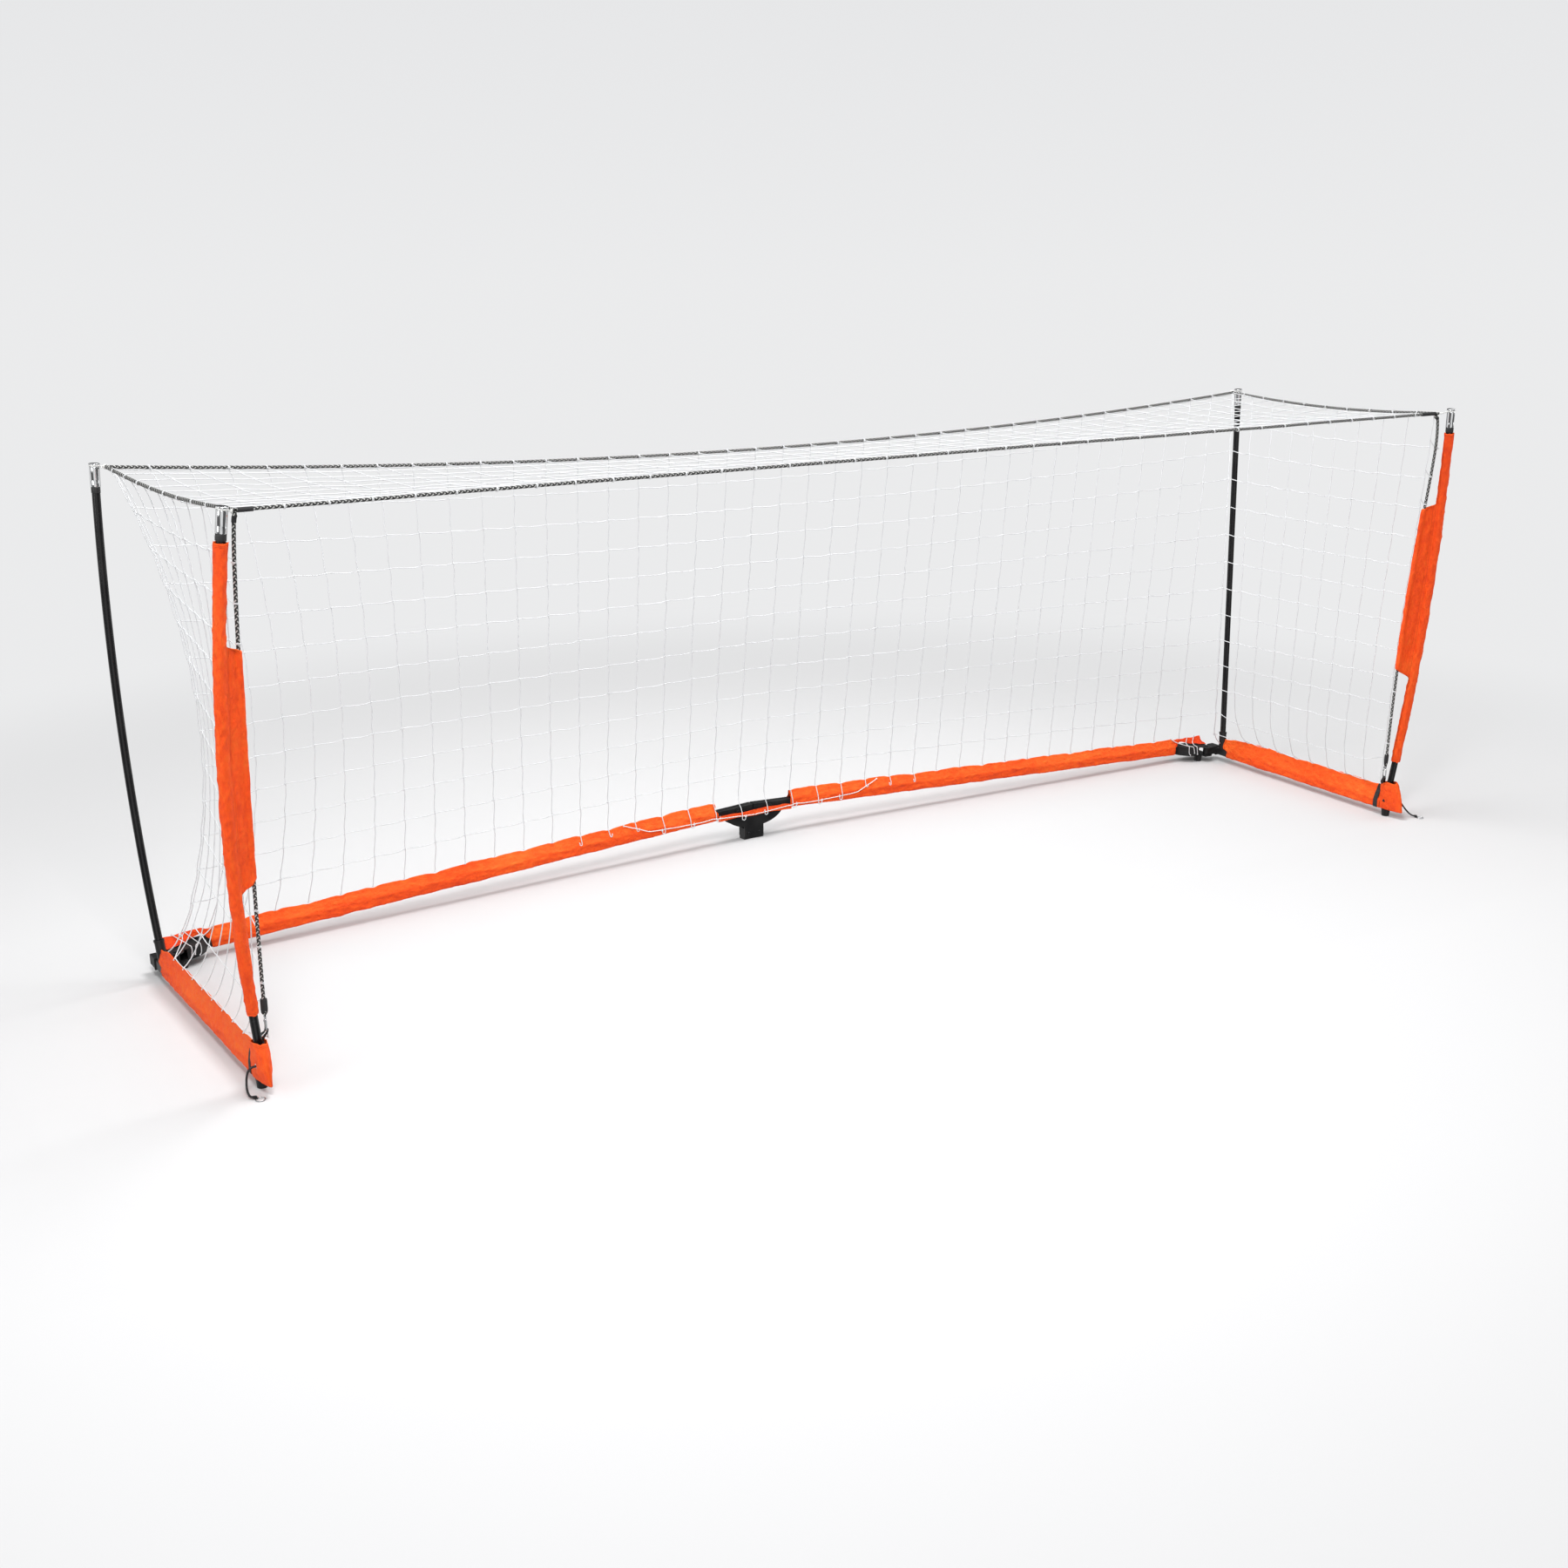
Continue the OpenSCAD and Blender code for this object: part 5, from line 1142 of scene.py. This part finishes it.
rearSleeve = {"start": 0.115, "end": 2.549, "half": 0.0205, "ridge": 0.0615, "step": 0.0055, "creases": 0.0050}
flapShape = {"end": 2.733, "step": 0.005, "skin": 0.0013}
meshLine = allU[allU > 0] * netBase[0]
for s, side in sideNames.items():
    spec = rearSleeve
    xs = np.arange(spec["start"], spec["end"], spec["step"])
    pinch = np.exp(-(((xs[:, None] + 0.09 - meshLine[None]) / 0.016) ** 2)).max(1)
    grid, girth = sleeveGrid(xs, spec["half"], spec["ridge"], 0.0012, 3.0 + s, pinch, spec["creases"])
    cols = grid.shape[1]
    share = np.arange(cols) / cols * 9
    lowPart = np.clip((0.022 - grid[-1, :, 1]) / 0.03, 0, 1)
    startCut, endCut = 0.007 * noise(share, 4.4 + s, 2), -0.006 * lowPart + 0.004 * noise(share, 6.4 + s, 2)
    t = ((xs - xs[0]) / (xs[-1] - xs[0]))[:, None]
    along = xs[:, None] + startCut[None] * (1 - t) ** 30 + endCut[None] * t**30
    outer = barPoint(along, grid[..., 0], grid[..., 1])
    centre = barPoint(along, np.zeros(grid.shape[:2]), np.clip(grid[..., 1], -0.012, 0.03))
    sleeve = makePiece(f"rear_sleeve_cloth_{side}", skinParts(outer, unit(centre - outer), girth), "orange",
        f"{side}_bar", s=s)
    dressCloth(sleeve, endHem(xs, cols))
    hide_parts(f"rear_sleeve_{side}")
    # The flap: the sleeve's upper front face runs on over the corner plates and widens on to them
    section = grid[-1]
    pick = np.flatnonzero((section[:, 1] > 0.018) & (section[:, 0] < 0.0015))
    first = section[pick[np.argsort(-section[pick, 1], kind="stable")]]
    share = runAlong(first)
    share = share / share[-1]
    fx = np.arange(xs[-1] - 0.004, flapShape["end"], flapShape["step"])
    reach = np.interp(fx, [2.549, 2.562, 2.580, 2.61, 2.65, 2.69, 2.733],
        [0.98, 0.60, 0.50, 0.66, 0.84, 1.0, 1.0])
    wide = np.interp(fx, [2.549, 2.60, 2.65, 2.70, 2.733], [0.0, 0.003, 0.014, 0.030, 0.036])
    rise = 0.0035 * noise(fx * 13, 2.2 + s, 2)
    blend = ease((fx - xs[-1]) / 0.03)
    face = []
    for n, x in enumerate(fx):
        lane = np.array([(0.001, 0.0615 + rise[n]), (-0.0075, 0.050 + rise[n]), (-0.0150, 0.0375),
            (-0.0200, 0.0325), (-0.0200 - wide[n], 0.0305)])
        run = runAlong(lane)
        at = share * reach[n] * run[-1]
        drape = np.stack([np.interp(at, run, lane[:, 0]), np.interp(at, run, lane[:, 1])], -1)
        face.append(mix(first, drape, blend[n]))
    face = np.array(face)
    ripple = (0.0028 * folds(fx[:, None], share[None] * 0.09, 5.0 + s)
        + 0.0016 * noise(fx[:, None] * 30, share[None] * 3 + s, 2))
    face[..., 1] += ripple * blend[:, None]
    face[..., 0] -= 0.5 * ripple * blend[:, None]
    slope = np.gradient(face, axis=1)
    normal = unit(np.stack([slope[..., 1], -slope[..., 0]], -1))
    under = face - normal * flapShape["skin"] * np.where((normal[..., 1] < 0)[..., None], -1, 1)
    spanX = (np.repeat(fx[:, None], len(pick), 1)
        + 0.006 * noise(share * 5, 3.3 + s, 2)[None] * ease((fx - 2.68) / 0.05)[:, None])
    upper, lower = barPoint(spanX, face[..., 0], face[..., 1]), barPoint(spanX, under[..., 0], under[..., 1])
    flap = makePiece(f"rear_flap_{side}", [bandPart(upper, lower, 0.12)], "orange", f"{side}_bar", s=s)
    edge = np.minimum(flapShape["end"] - fx[:, None], (1 - share)[None] * 0.07)
    dressCloth(flap, np.concatenate([edge, edge[:, ::-1]], 1))
print("rear sleeves made")

sideSleeve = {"start": -1.1927, "end": -0.076, "half": 0.0195, "ridge": 0.0915, "step": 0.0055,
    "creases": 0.0048}
for s, side in sideNames.items():
    spec = sideSleeve
    xs = np.arange(spec["start"], spec["end"], spec["step"])
    pinch = np.exp(-(((xs[:, None] - np.array(sideTieY)[None]) / 0.016) ** 2)).max(1)
    grid, girth = sleeveGrid(xs, spec["half"], spec["ridge"], 0.0012, 9.0 + s * 2, pinch, spec["creases"],
        np.exp(-(((xs + 1.166) / 0.022) ** 4)))
    cols = grid.shape[1]
    share = np.arange(cols) / cols * 9
    # the rear end is cut back below, so the bar shows under the sleeve's upper corner
    back = -0.036 * ease((0.026 - grid[-1, :, 1]) / 0.014) + 0.005 * noise(share, 2.4 + s, 2)
    t = ((xs - xs[0]) / (xs[-1] - xs[0]))[:, None]
    along = xs[:, None] + back[None] * t**6 + 0.004 * noise(share, 7.1 + s, 2)[None] * (1 - t) ** 30
    grid[..., 1] -= ease((xs + 0.20) / 0.12)[:, None] * 0.018 * np.clip((grid[..., 1] - 0.03) / 0.06, 0, 1)
    outer = sidePoint(grid[..., 0], along, grid[..., 1])
    centre = sidePoint(np.zeros(grid.shape[:2]), along, np.clip(grid[..., 1], -0.012, 0.05))
    sleeve = makePiece(f"side_sleeve_cloth_{side}", skinParts(outer, unit(centre - outer), girth, flip=True),
        "orange", f"{side}_side", s=s)
    dressCloth(sleeve, endHem(xs, cols))
    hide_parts(f"side_sleeve_{side}")
print("side sleeves made")

# Loose strip over the centre hinge: two creased faces
stripShape = {"low": -0.031, "high": -0.002, "off": -0.0302}
xs = np.linspace(-0.2045, 0.2045, 90)
vs = np.linspace(0, 1, 9)
highLine = stripShape["high"] + 0.004 * noise(xs * 14, 1.0, 2) - 0.002
lowLine = stripShape["low"] + 0.004 * noise(xs * 11, 6.0, 2) + 0.002
z = 0.15 + mix(lowLine[:, None], highLine[:, None], vs[None])
y = (originY + stripShape["off"] - np.abs(xs)[:, None] * math.tan(bend)
    - 0.0025 * np.abs(noise(xs[:, None] * 20, vs[None] * 3, 2)))
face = np.stack([np.repeat(xs[:, None], len(vs), 1), y - clothShape["thickness"] / 2, z], -1)
back = face + [0, clothShape["thickness"], 0]
strip = makePiece("hinge_strip_cloth", [gridPart(np.concatenate([face, back[:, ::-1]], 1), around=True,
    across=0.06)], "orange", "centre_hub")
dressCloth(strip, 0.05)
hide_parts("hub_cloth_strip")

# Round the pole the cloth is a tube; over its middle a double flap reaches past the post rope and holds it
poleSleeve = {"radius": 0.0203, "low": 0.282, "high": 1.892, "flapLow": 0.70, "flapHigh": 1.56, "reach": 0.1,
    "step": 0.0055, "hold": 0.0108, "layer": 0.0016, "ring": 30, "flap": 15}
for s, side in sideNames.items():
    spec = poleSleeve
    z = np.arange(spec["low"], spec["high"], spec["step"])
    t = (z - poleFoot) / poleRise
    centre, way = polePoint("front", t), poleWay("front", t)
    rope = postAxis(centre[:, 2]) - centre
    far = np.linalg.norm(rope[:, :2], axis=1)
    flatWay = unit(rope * [1, 1, 0])
    ex = unit(flatWay - (flatWay * way).sum(1)[:, None] * way)
    ey = np.cross(way, ex)
    opened = ease((z - spec["flapLow"]) / 0.05) * ease((spec["flapHigh"] - z) / 0.03)
    # the left flap narrows upward like a leaf, the right one ends in a shoulder
    if s < 0:
        reach = np.interp(z, [0.70, 0.73, 0.82, 1.0, 1.35, 1.48, 1.56],
            [0.064, 0.082, 0.096, 0.100, 0.100, 0.083, 0.060])
    else:
        reach = spec["reach"] - 0.010 * np.abs((z - 1.13) / 0.43) ** 5
    edge = np.maximum(reach, far + spec["hold"] + 0.003) - 0.0035 * np.abs(noise(z * 17, s + 2.0, 2))
    # the section: an arc round the pole, out along the flap's one face, round its edge, back along the other
    n, m = spec["ring"], spec["flap"]
    arc = np.linspace(0.42, 2 * math.pi - 0.42, n)
    lane = np.linspace(0, 1, m + 1)[1:]
    circle = np.concatenate([arc, 2 * math.pi - 0.42 + 0.84 * np.arange(1, 2 * m) / (2 * m)])
    a = spec["radius"] * np.cos(0.42)
    out = a + (edge[:, None] - a) * lane[None]
    hold = np.sqrt(np.maximum(spec["hold"] ** 2 - (out - far[:, None]) ** 2, 0))
    root = spec["radius"] * np.sin(0.42) * np.clip(1 - lane * 3.5, 0, 1)[None] ** 1.5
    half = np.maximum(np.maximum(hold, spec["layer"]), root) * np.where(lane > 0.985, 0.25, 1)[None]
    openX = np.concatenate([spec["radius"] * np.cos(arc)[None] + 0 * z[:, None], out, out[:, ::-1][:, 1:]],
        1)[:, : len(circle)]
    openY = np.concatenate([spec["radius"] * np.sin(arc)[None] + 0 * z[:, None], -half, half[:, ::-1][:, 1:]],
        1)[:, : len(circle)]
    shutX, shutY = spec["radius"] * np.cos(circle)[None], spec["radius"] * np.sin(circle)[None]
    x, y = mix(shutX, openX, opened[:, None]), mix(shutY, openY, opened[:, None])
    share = np.arange(len(circle)) / len(circle)
    flapPart = np.clip((x - 0.024) / 0.02, 0, 1)
    slack = (0.0040 * folds(z[:, None] * 1.1, share[None] * 1.3, 3.0 + s)
        + 0.0019 * noise(z[:, None] * 13, share[None] * 9 + s, 2))
    radial = np.maximum(slack, -0.0012) * (1 - flapPart)
    size = np.sqrt(x * x + y * y)
    x, y = x * (1 + radial / size), y * (1 + radial / size)
    # the flap ripples to and fro between the pole and the rope, both faces together
    swing = (0.0068 * noise(z[:, None] * 9 + x * 8, x * 26 + s, 2) * flapPart
        * np.clip((edge[:, None] - x) / 0.03, 0.25, 1))
    y = y + swing + 0.0012 * noise(z[:, None] * 34, x * 60 + s * 3, 2) * flapPart
    outer = centre[:, None] + x[..., None] * ex[:, None] + y[..., None] * ey[:, None]
    hemRing = 0.004 * noise(np.cos(circle) * 2, np.sin(circle) * 2 + s, 2)
    fade = np.exp(-np.arange(len(z)) / 3.0)
    outer += (hemRing[None] * (fade + fade[::-1])[:, None])[..., None] * way[:, None]
    inner = (centre[:, None] + (x * mix(0.95, 0.985, flapPart))[..., None] * ex[:, None]
        + (y * 0.93)[..., None] * ey[:, None])
    girth = float(np.linalg.norm(np.diff(outer[len(z) // 2], axis=0), axis=1).sum())
    rings = np.concatenate([outer, inner[::-1]], 0)
    sleeve = makePiece(f"pole_sleeve_cloth_{side}", [gridPart(rings, around=True, across=girth)], "orange", s=s)
    ends = np.minimum(z - z[0], z[-1] - z)[:, None]
    seam = np.where(opened[:, None] > 0.6, np.abs(x - 0.030) + 0.007, 1.0)
    hem = np.minimum(ends, seam)
    dressCloth(sleeve, np.concatenate([hem, hem[::-1]], 0))
    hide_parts(f"pole_sleeve_{side}")
    # the sleeve's lowest and highest centres on this side (not used further); its placement is baked into its
    # points
    low, top = centre[0] * [s, 1, 1], centre[-1] * [s, 1, 1]
    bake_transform(sleeve)
print("pole sleeves made")

# A bag over the bar's front end: level rings from the open rim down, pointed in front at the bottom
hoodShape = {"back": -1.186, "rim": 0.119, "low": -0.0212, "half": 0.0232, "skin": 0.0011, "points": 44}
for s, side in sideNames.items():
    spec = hoodShape
    z = np.concatenate([np.linspace(spec["rim"], spec["low"] + 0.003, 34),
        [spec["low"] + 0.001, spec["low"], spec["low"] - 0.0002, spec["low"] - 0.0003]])
    close = np.concatenate([np.ones(34), [0.94, 0.8, 0.4, 0.02]])
    down = np.clip((spec["rim"] - z) / (spec["rim"] - spec["low"]), 0, 1)
    front = -1.272 - 0.050 * down**0.9 - 0.006 * np.sin(math.pi * down)
    blunt = mix(5.0, 1.5, down**1.6)
    half = spec["half"] * (1 + 0.10 * np.sin(math.pi * down))
    angle = ringAngles(spec["points"])
    f = (1 - np.cos(angle))[None] / 2
    y = mix(spec["back"], front[:, None], f)
    widthAt = np.maximum(1 - f ** blunt[:, None], 0) ** 0.62 * np.minimum(1, (f + 0.02) * 9) ** 0.35
    x = half[:, None] * np.sign(np.sin(angle))[None] * widthAt
    crease = (0.0030 * folds(z[:, None] * 1.3, angle[None] * 0.16, 7.0 + s)
        + 0.0020 * noise(z[:, None] * 26, angle[None] * 1.4 + s * 3, 2))
    x = x + np.sign(x) * crease * np.minimum(1, widthAt * 1.4)
    y = y - crease * 0.8 * ease((f - 0.6) / 0.4)
    mid = mix(spec["back"], front, 0.5)[:, None]
    x, y = x * close[:, None], mid + (y - mid) * close[:, None]
    height = (z[:, None] + 0.0045 * noise(angle[None] * 1.6 + s, 3.0, 2) * (1 - down)[:, None] ** 2
        - 0.010 * ((1 - f) ** 2) * (1 - down)[:, None] ** 3)
    outer = sidePoint(x, y, height)
    inner = sidePoint(x * 0.955, mid + (y - mid) * 0.975, height + 0.0011 * (close[:, None] < 0.99))
    rings = np.concatenate([inner[::-1], outer], 0)
    hood = makePiece(f"front_hood_cloth_{side}", [gridPart(rings, around=True, across=0.26)], "orange",
        f"{side}_side", s=s)
    hem = np.repeat((spec["rim"] - z)[:, None], spec["points"], 1)
    dressCloth(hood, np.concatenate([hem[::-1], hem], 0))
    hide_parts(f"front_hood_{side}")
print("hoods made")

halfLine = [np.array([x, originY - 0.0336 / math.cos(bend) - x * math.tan(bend),
    0.15 - 0.027 + 0.014 * x / 0.205]) for x in (0.0, 0.045, 0.09, 0.14, 0.185, 0.209)]
rightLine = np.vstack([halfLine, barPoint(*lacingLane.T)])
for s, side in sideNames.items():
    path = smoothPath(rightLine, 0.006)
    run = np.arange(len(path))
    path[:, 2] += 0.0012 * noise(run * 0.11, 3.0 + s, 2)
    cord = makePiece(f"lacing_cord_{side}", [tubePart(path, 0.0021, 8),
        knotPart(path[-1], (0.0046, 0.0042, 0.0044), 0.3)], "lacing", s=s)
    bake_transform(cord)
    if s < 0:
        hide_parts("net_lacing_cord")
print("lacing made")

for s, side in sideNames.items():
    for which, corner in (("rear", rearCorner), ("front", frontCorner(s) + [0, 0.004, -0.004])):
        top = poleTop(which)
        groove = top[:3, 3] - top[:3, 2] * 0.009
        parts = [ringPart(groove, top[:3, 2], 0.0180, 0.0020, 1.0)]
        way = unit(corner - groove)
        end = corner - way * (ropeRadius + 0.002)
        first = groove + way * 0.0185
        for lift in (0.0022, -0.0022):
            mid = mix(first, end, 0.5) + np.array([0, 0, lift - 0.002])
            parts.append(tubePart(smoothPath([first + [0, 0, lift * 0.4], mid, end + [0, 0, lift]], 0.004),
                0.0016, 6))
        parts.append(ringPart(corner + [0, 0.004, 0], (0.2, 1, 0.0), ropeRadius + 0.0016, 0.0018, 3))
        tie = makePiece(f"{which}_elastic_{side}", parts, "lacing", s=s)
        end, first = end * [s, 1, 1], first * [s, 1, 1]
        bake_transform(tie)
        if which == "rear":
            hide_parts(f"elastic_ties_{side}")
print("elastic made")

# half is half the side tube, the sleeve and the gaps between them
strapShape = {"width": 0.025, "thickness": 0.0018, "y": -1.166, "base": 0.019, "ridge": 0.092, "half": 0.0223}
hookAt = np.array([postX, mouth["front"][1] + 0.012, 0.222])
for s, side in sideNames.items():
    spec = strapShape
    h, k, base, y0 = spec["half"], spec["ridge"], spec["base"], spec["y"]
    ring = [(h, base - 0.001, 0), (h, 0, 0), (h, -h + 0.004, 0), (h - 0.004, -h, 0), (0, -h, 0),
        (-h + 0.004, -h, 0), (-h, -h + 0.004, 0), (-h, 0, 0), (-h, base - 0.001, 0),
        (-h * 0.66 - 0.002, mix(base, k, 0.38) + 0.006, -0.006),
        (-h * 0.33 - 0.005, mix(base, k, 0.72) + 0.007, -0.012)]
    back = [(0.006, k + 0.007, -0.014), (h * 0.33 + 0.006, mix(base, k, 0.72) + 0.007, -0.012),
        (h * 0.66 + 0.004, mix(base, k, 0.38) + 0.006, -0.006)]
    pts = [sidePoint(a, y0 + c, b) for a, b, c in ring]
    overHook = [(-0.006, -0.009), (-0.004, 0), (0.004, 0), (0.006, -0.009)]
    pts += [hookAt * [1, 1, 0] + [a, 0, 0.2065 + b] for a, b in overHook]
    pts += [sidePoint(a, y0 + c, b) for a, b, c in back]
    widths = np.array([1.0] * 11 + [0.42] * 4 + [0.9, 1, 1]) * spec["width"]
    pts = np.array(pts)
    closed = np.vstack([pts, pts[:1]])
    fine = smoothPath(closed, 0.004)[:-1]
    run, fineRun = runAlong(closed), runAlong(fine)
    w = np.interp(fineRun / fineRun[-1] * run[-1], run, np.append(widths, widths[0]))
    way = unit(np.roll(fine, -1, 0) - np.roll(fine, 1, 0))
    across = unit(np.array([0, 1.0, 0]) - way[:, 1:2] * way)
    out = np.cross(way, across)
    lanes = np.linspace(-0.5, 0.5, 7)
    middle = fine[:, None] + across[:, None] * (w[:, None] * lanes[None])[..., None]
    thick = out[:, None] * (spec["thickness"] / 2) * (1 - 0.5 * np.abs(lanes * 2) ** 6)[None, :, None]
    grid = np.concatenate([middle + thick, (middle - thick)[:, ::-1]], 1)
    grid = np.concatenate([grid, grid[:1]], 0)
    strap = makePiece(f"webbing_{side}", [gridPart(grid, around=True)], "webbing", f"{side}_side", s=s)
    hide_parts(f"webbing_strap_{side}")
print("straps made")

# The routes' points are the solids' own, in metres
stakePath = {
    -1: [[2.839, -0.664, 0.091], [2.845, -0.664, 0.091], [2.857, -0.665, 0.089], [2.868, -0.669, 0.081],
        [2.876, -0.676, 0.067], [2.881, -0.684, 0.050], [2.884, -0.693, 0.033], [2.884, -0.703, 0.019],
        [2.881, -0.714, 0.0105], [2.874, -0.722, 0.0084], [2.8614, -0.7261, 0.0084]],
    1: [[2.839, -0.664, 0.091], [2.845, -0.664, 0.091], [2.856, -0.666, 0.089], [2.868, -0.672, 0.080],
        [2.876, -0.682, 0.064], [2.882, -0.694, 0.047], [2.888, -0.708, 0.031], [2.894, -0.722, 0.018],
        [2.902, -0.738, 0.010], [2.914, -0.754, 0.0084]],
}
ringAt = {-1: np.array([2.8535, -0.737, 0.002]), 1: np.array([2.923, -0.764, 0.002])}
for s, side in sideNames.items():
    route = smoothPath(stakePath[s], 0.003)
    length = float(runAlong(route)[-1])
    # the cord's end turns round the ring's wire and is whipped to itself
    toRing = unit((ringAt[s] - route[-1]) * [1, 1, 0])
    wire = ringAt[s] - toRing * 0.016
    up = np.array([0, 0, 1.0])
    turnPoints = [route[-4] + up * 0.002, route[-1] + up * 0.0005, wire + up * 0.0052, wire + toRing * 0.0048]
    turnPoints += [wire - up * 0.0001 + toRing * 0.001, wire - toRing * 0.007 + up * 0.0012]
    turnPath = smoothPath(turnPoints, 0.0015)
    turnPath[:, 2] = np.maximum(turnPath[:, 2], 0.0022)
    whip = ringPart(mix(route[-5], route[-1], 0.4), unit(route[-1] - route[-5]), 0.0046, 0.0013, 4)
    cord = makePiece(f"stake_cord_braid_{side}", [tubePart(route, 0.004, 12)], "cord", f"{side}_side", s=s)
    makePiece(f"stake_knot_{side}", [tubePart(turnPath, 0.0021, 8), whip], "cord", f"{side}_side", s=s)
    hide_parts(f"stake_cord_{side}")
print("stake cords made")

# The room's windows: three bright bands and three dark ones round the object, as a mask of the direction
def windowGroup():
    group, g, entry, leave = valueGroup("windows", ("X", "Y"), ("Mask",))
    wave = g.sine(g.scaled(g.math("ARCTAN2", entry[1], entry[0]), 3.0, 0.9))
    g.plug(leave[0], g.add("ShaderNodeMapRange", {"Value": wave, "From Min": 0.0, "From Max": 0.35},
        interpolation_type="SMOOTHSTEP"))
    return group


windows = windowGroup()


# The windows group placed for a direction: 1 in a bright band, 0 in a dark one
def bandsAround(g, x, y):
    return g.add("ShaderNodeGroup", {0: x, 1: y}, node_tree=windows).outputs[0]


stageShape = {"size": 80.0, "floor": (0.61, 0.61, 0.615), "horizon": (0.83, 0.833, 0.84),
    "high": (0.74, 0.745, 0.76)}
floorMesh = bpy.data.meshes.new("floor")
half = stageShape["size"] / 2
floorMesh.from_pydata([(-half, -half, 0), (half, -half, 0), (half, half, 0), (-half, half, 0)], [],
    [(0, 1, 2, 3)])
floor = bpy.data.objects.new("floor", floorMesh)
bpy.context.scene.collection.objects.link(floor)
floorMaterial = bpy.data.materials.new("floor_white")
g = Graph(nodeTree(floorMaterial))
where = g.add("ShaderNodeTexCoord").outputs["Object"]
distance = g.add("ShaderNodeVectorMath", {0: where}, operation="LENGTH").outputs["Value"]
fade = g.add("ShaderNodeMapRange", {"Value": distance, "From Min": 2.9, "From Max": 6.5},
    interpolation_type="SMOOTHSTEP").outputs[0]
diffuse = g.add("ShaderNodeBsdfDiffuse", {"Color": (*stageShape["floor"], 1)})
glow = g.add("ShaderNodeEmission", {"Color": (*stageShape["horizon"], 1), "Strength": 1.0})
mixed = g.add("ShaderNodeMixShader", {0: fade, 1: diffuse.outputs[0], 2: glow.outputs[0]})
# In the metal's mirror image the floor goes on in the windows' bands
toward = g.add("ShaderNodeSeparateXYZ", {0: g.add("ShaderNodeNewGeometry").outputs["Incoming"]}).outputs
bands = g.scaled(bandsAround(g, g.times(toward[0], -1.0), g.times(toward[1], -1.0)), 0.75, 0.12)
mirrored = g.add("ShaderNodeEmission", {"Color": (1, 1, 1, 1), "Strength": bands})
final = g.add("ShaderNodeMixShader", {0: g.add("ShaderNodeLightPath").outputs["Is Glossy Ray"],
    1: mixed.outputs[0], 2: mirrored.outputs[0]})
g.add("ShaderNodeOutputMaterial", {0: final.outputs[0]})
floorMesh.materials.append(floorMaterial)

# The backdrop: white at the horizon, soft grey above, seen only by the camera
world = bpy.data.worlds.new("studio")
bpy.context.scene.world = world
world.use_nodes = True
world.node_tree.nodes.clear()
g = Graph(world.node_tree)
seen = g.add("ShaderNodeLightPath").outputs["Is Camera Ray"]
sky = g.add("ShaderNodeSeparateXYZ", {0: g.add("ShaderNodeTexCoord").outputs["Generated"]}).outputs
tone = g.ramp(g.add("ShaderNodeMapRange", {"Value": sky[2], "From Min": -0.02, "From Max": 0.35}).outputs[0],
    [(0.0, stageShape["horizon"]), (1.0, stageShape["high"])])
ceiling = g.add("ShaderNodeMapRange", {"Value": sky[2], "From Min": 0.55, "From Max": 0.85},
    interpolation_type="SMOOTHSTEP").outputs[0]
power = g.scaled(g.math("MAXIMUM", bandsAround(g, sky[0], sky[1]), ceiling), 0.68, 0.08)
lit = g.add("ShaderNodeBackground", {"Color": (1, 1, 1, 1), "Strength": power})
plain = g.add("ShaderNodeBackground", {"Color": tone, "Strength": 1.0})
both = g.add("ShaderNodeMixShader", {0: seen, 1: lit.outputs[0], 2: plain.outputs[0]})
g.add("ShaderNodeOutputWorld", {0: both.outputs[0]})


# A square light at a place, turned to face the aim
def areaLight(name, place, aim, size, power):
    data = bpy.data.lights.new(name, "AREA")
    data.size = size
    data.energy = power
    lamp = bpy.data.objects.new(name, data)
    bpy.context.scene.collection.objects.link(lamp)
    z = unit(np.array(place, float) - np.array(aim, float))
    m = matrixAt(place, z, (1, 0, 0) if abs(z[0]) < 0.9 else (0, 1, 0))
    lamp.matrix_world = Matrix([list(r) for r in m])


areaLight("key", (-3.5, -4.5, 6.5), (0, 0, 0.8), 1.8, 320)
areaLight("overhead", (0.3, 0.3, 7.0), (0, 0.3, 0), 2.4, 390)
areaLight("side", (7.0, -3.0, 3.5), (0, 0, 0.8), 4.0, 80)
areaLight("left", (-8.0, -1.5, 2.6), (-2.6, -0.3, 0.3), 3.0, 110)

scene = bpy.context.scene
scene.view_settings.view_transform = "Standard"
scene.view_settings.look = "None"
scene.view_settings.exposure = 0
scene.view_settings.gamma = 1
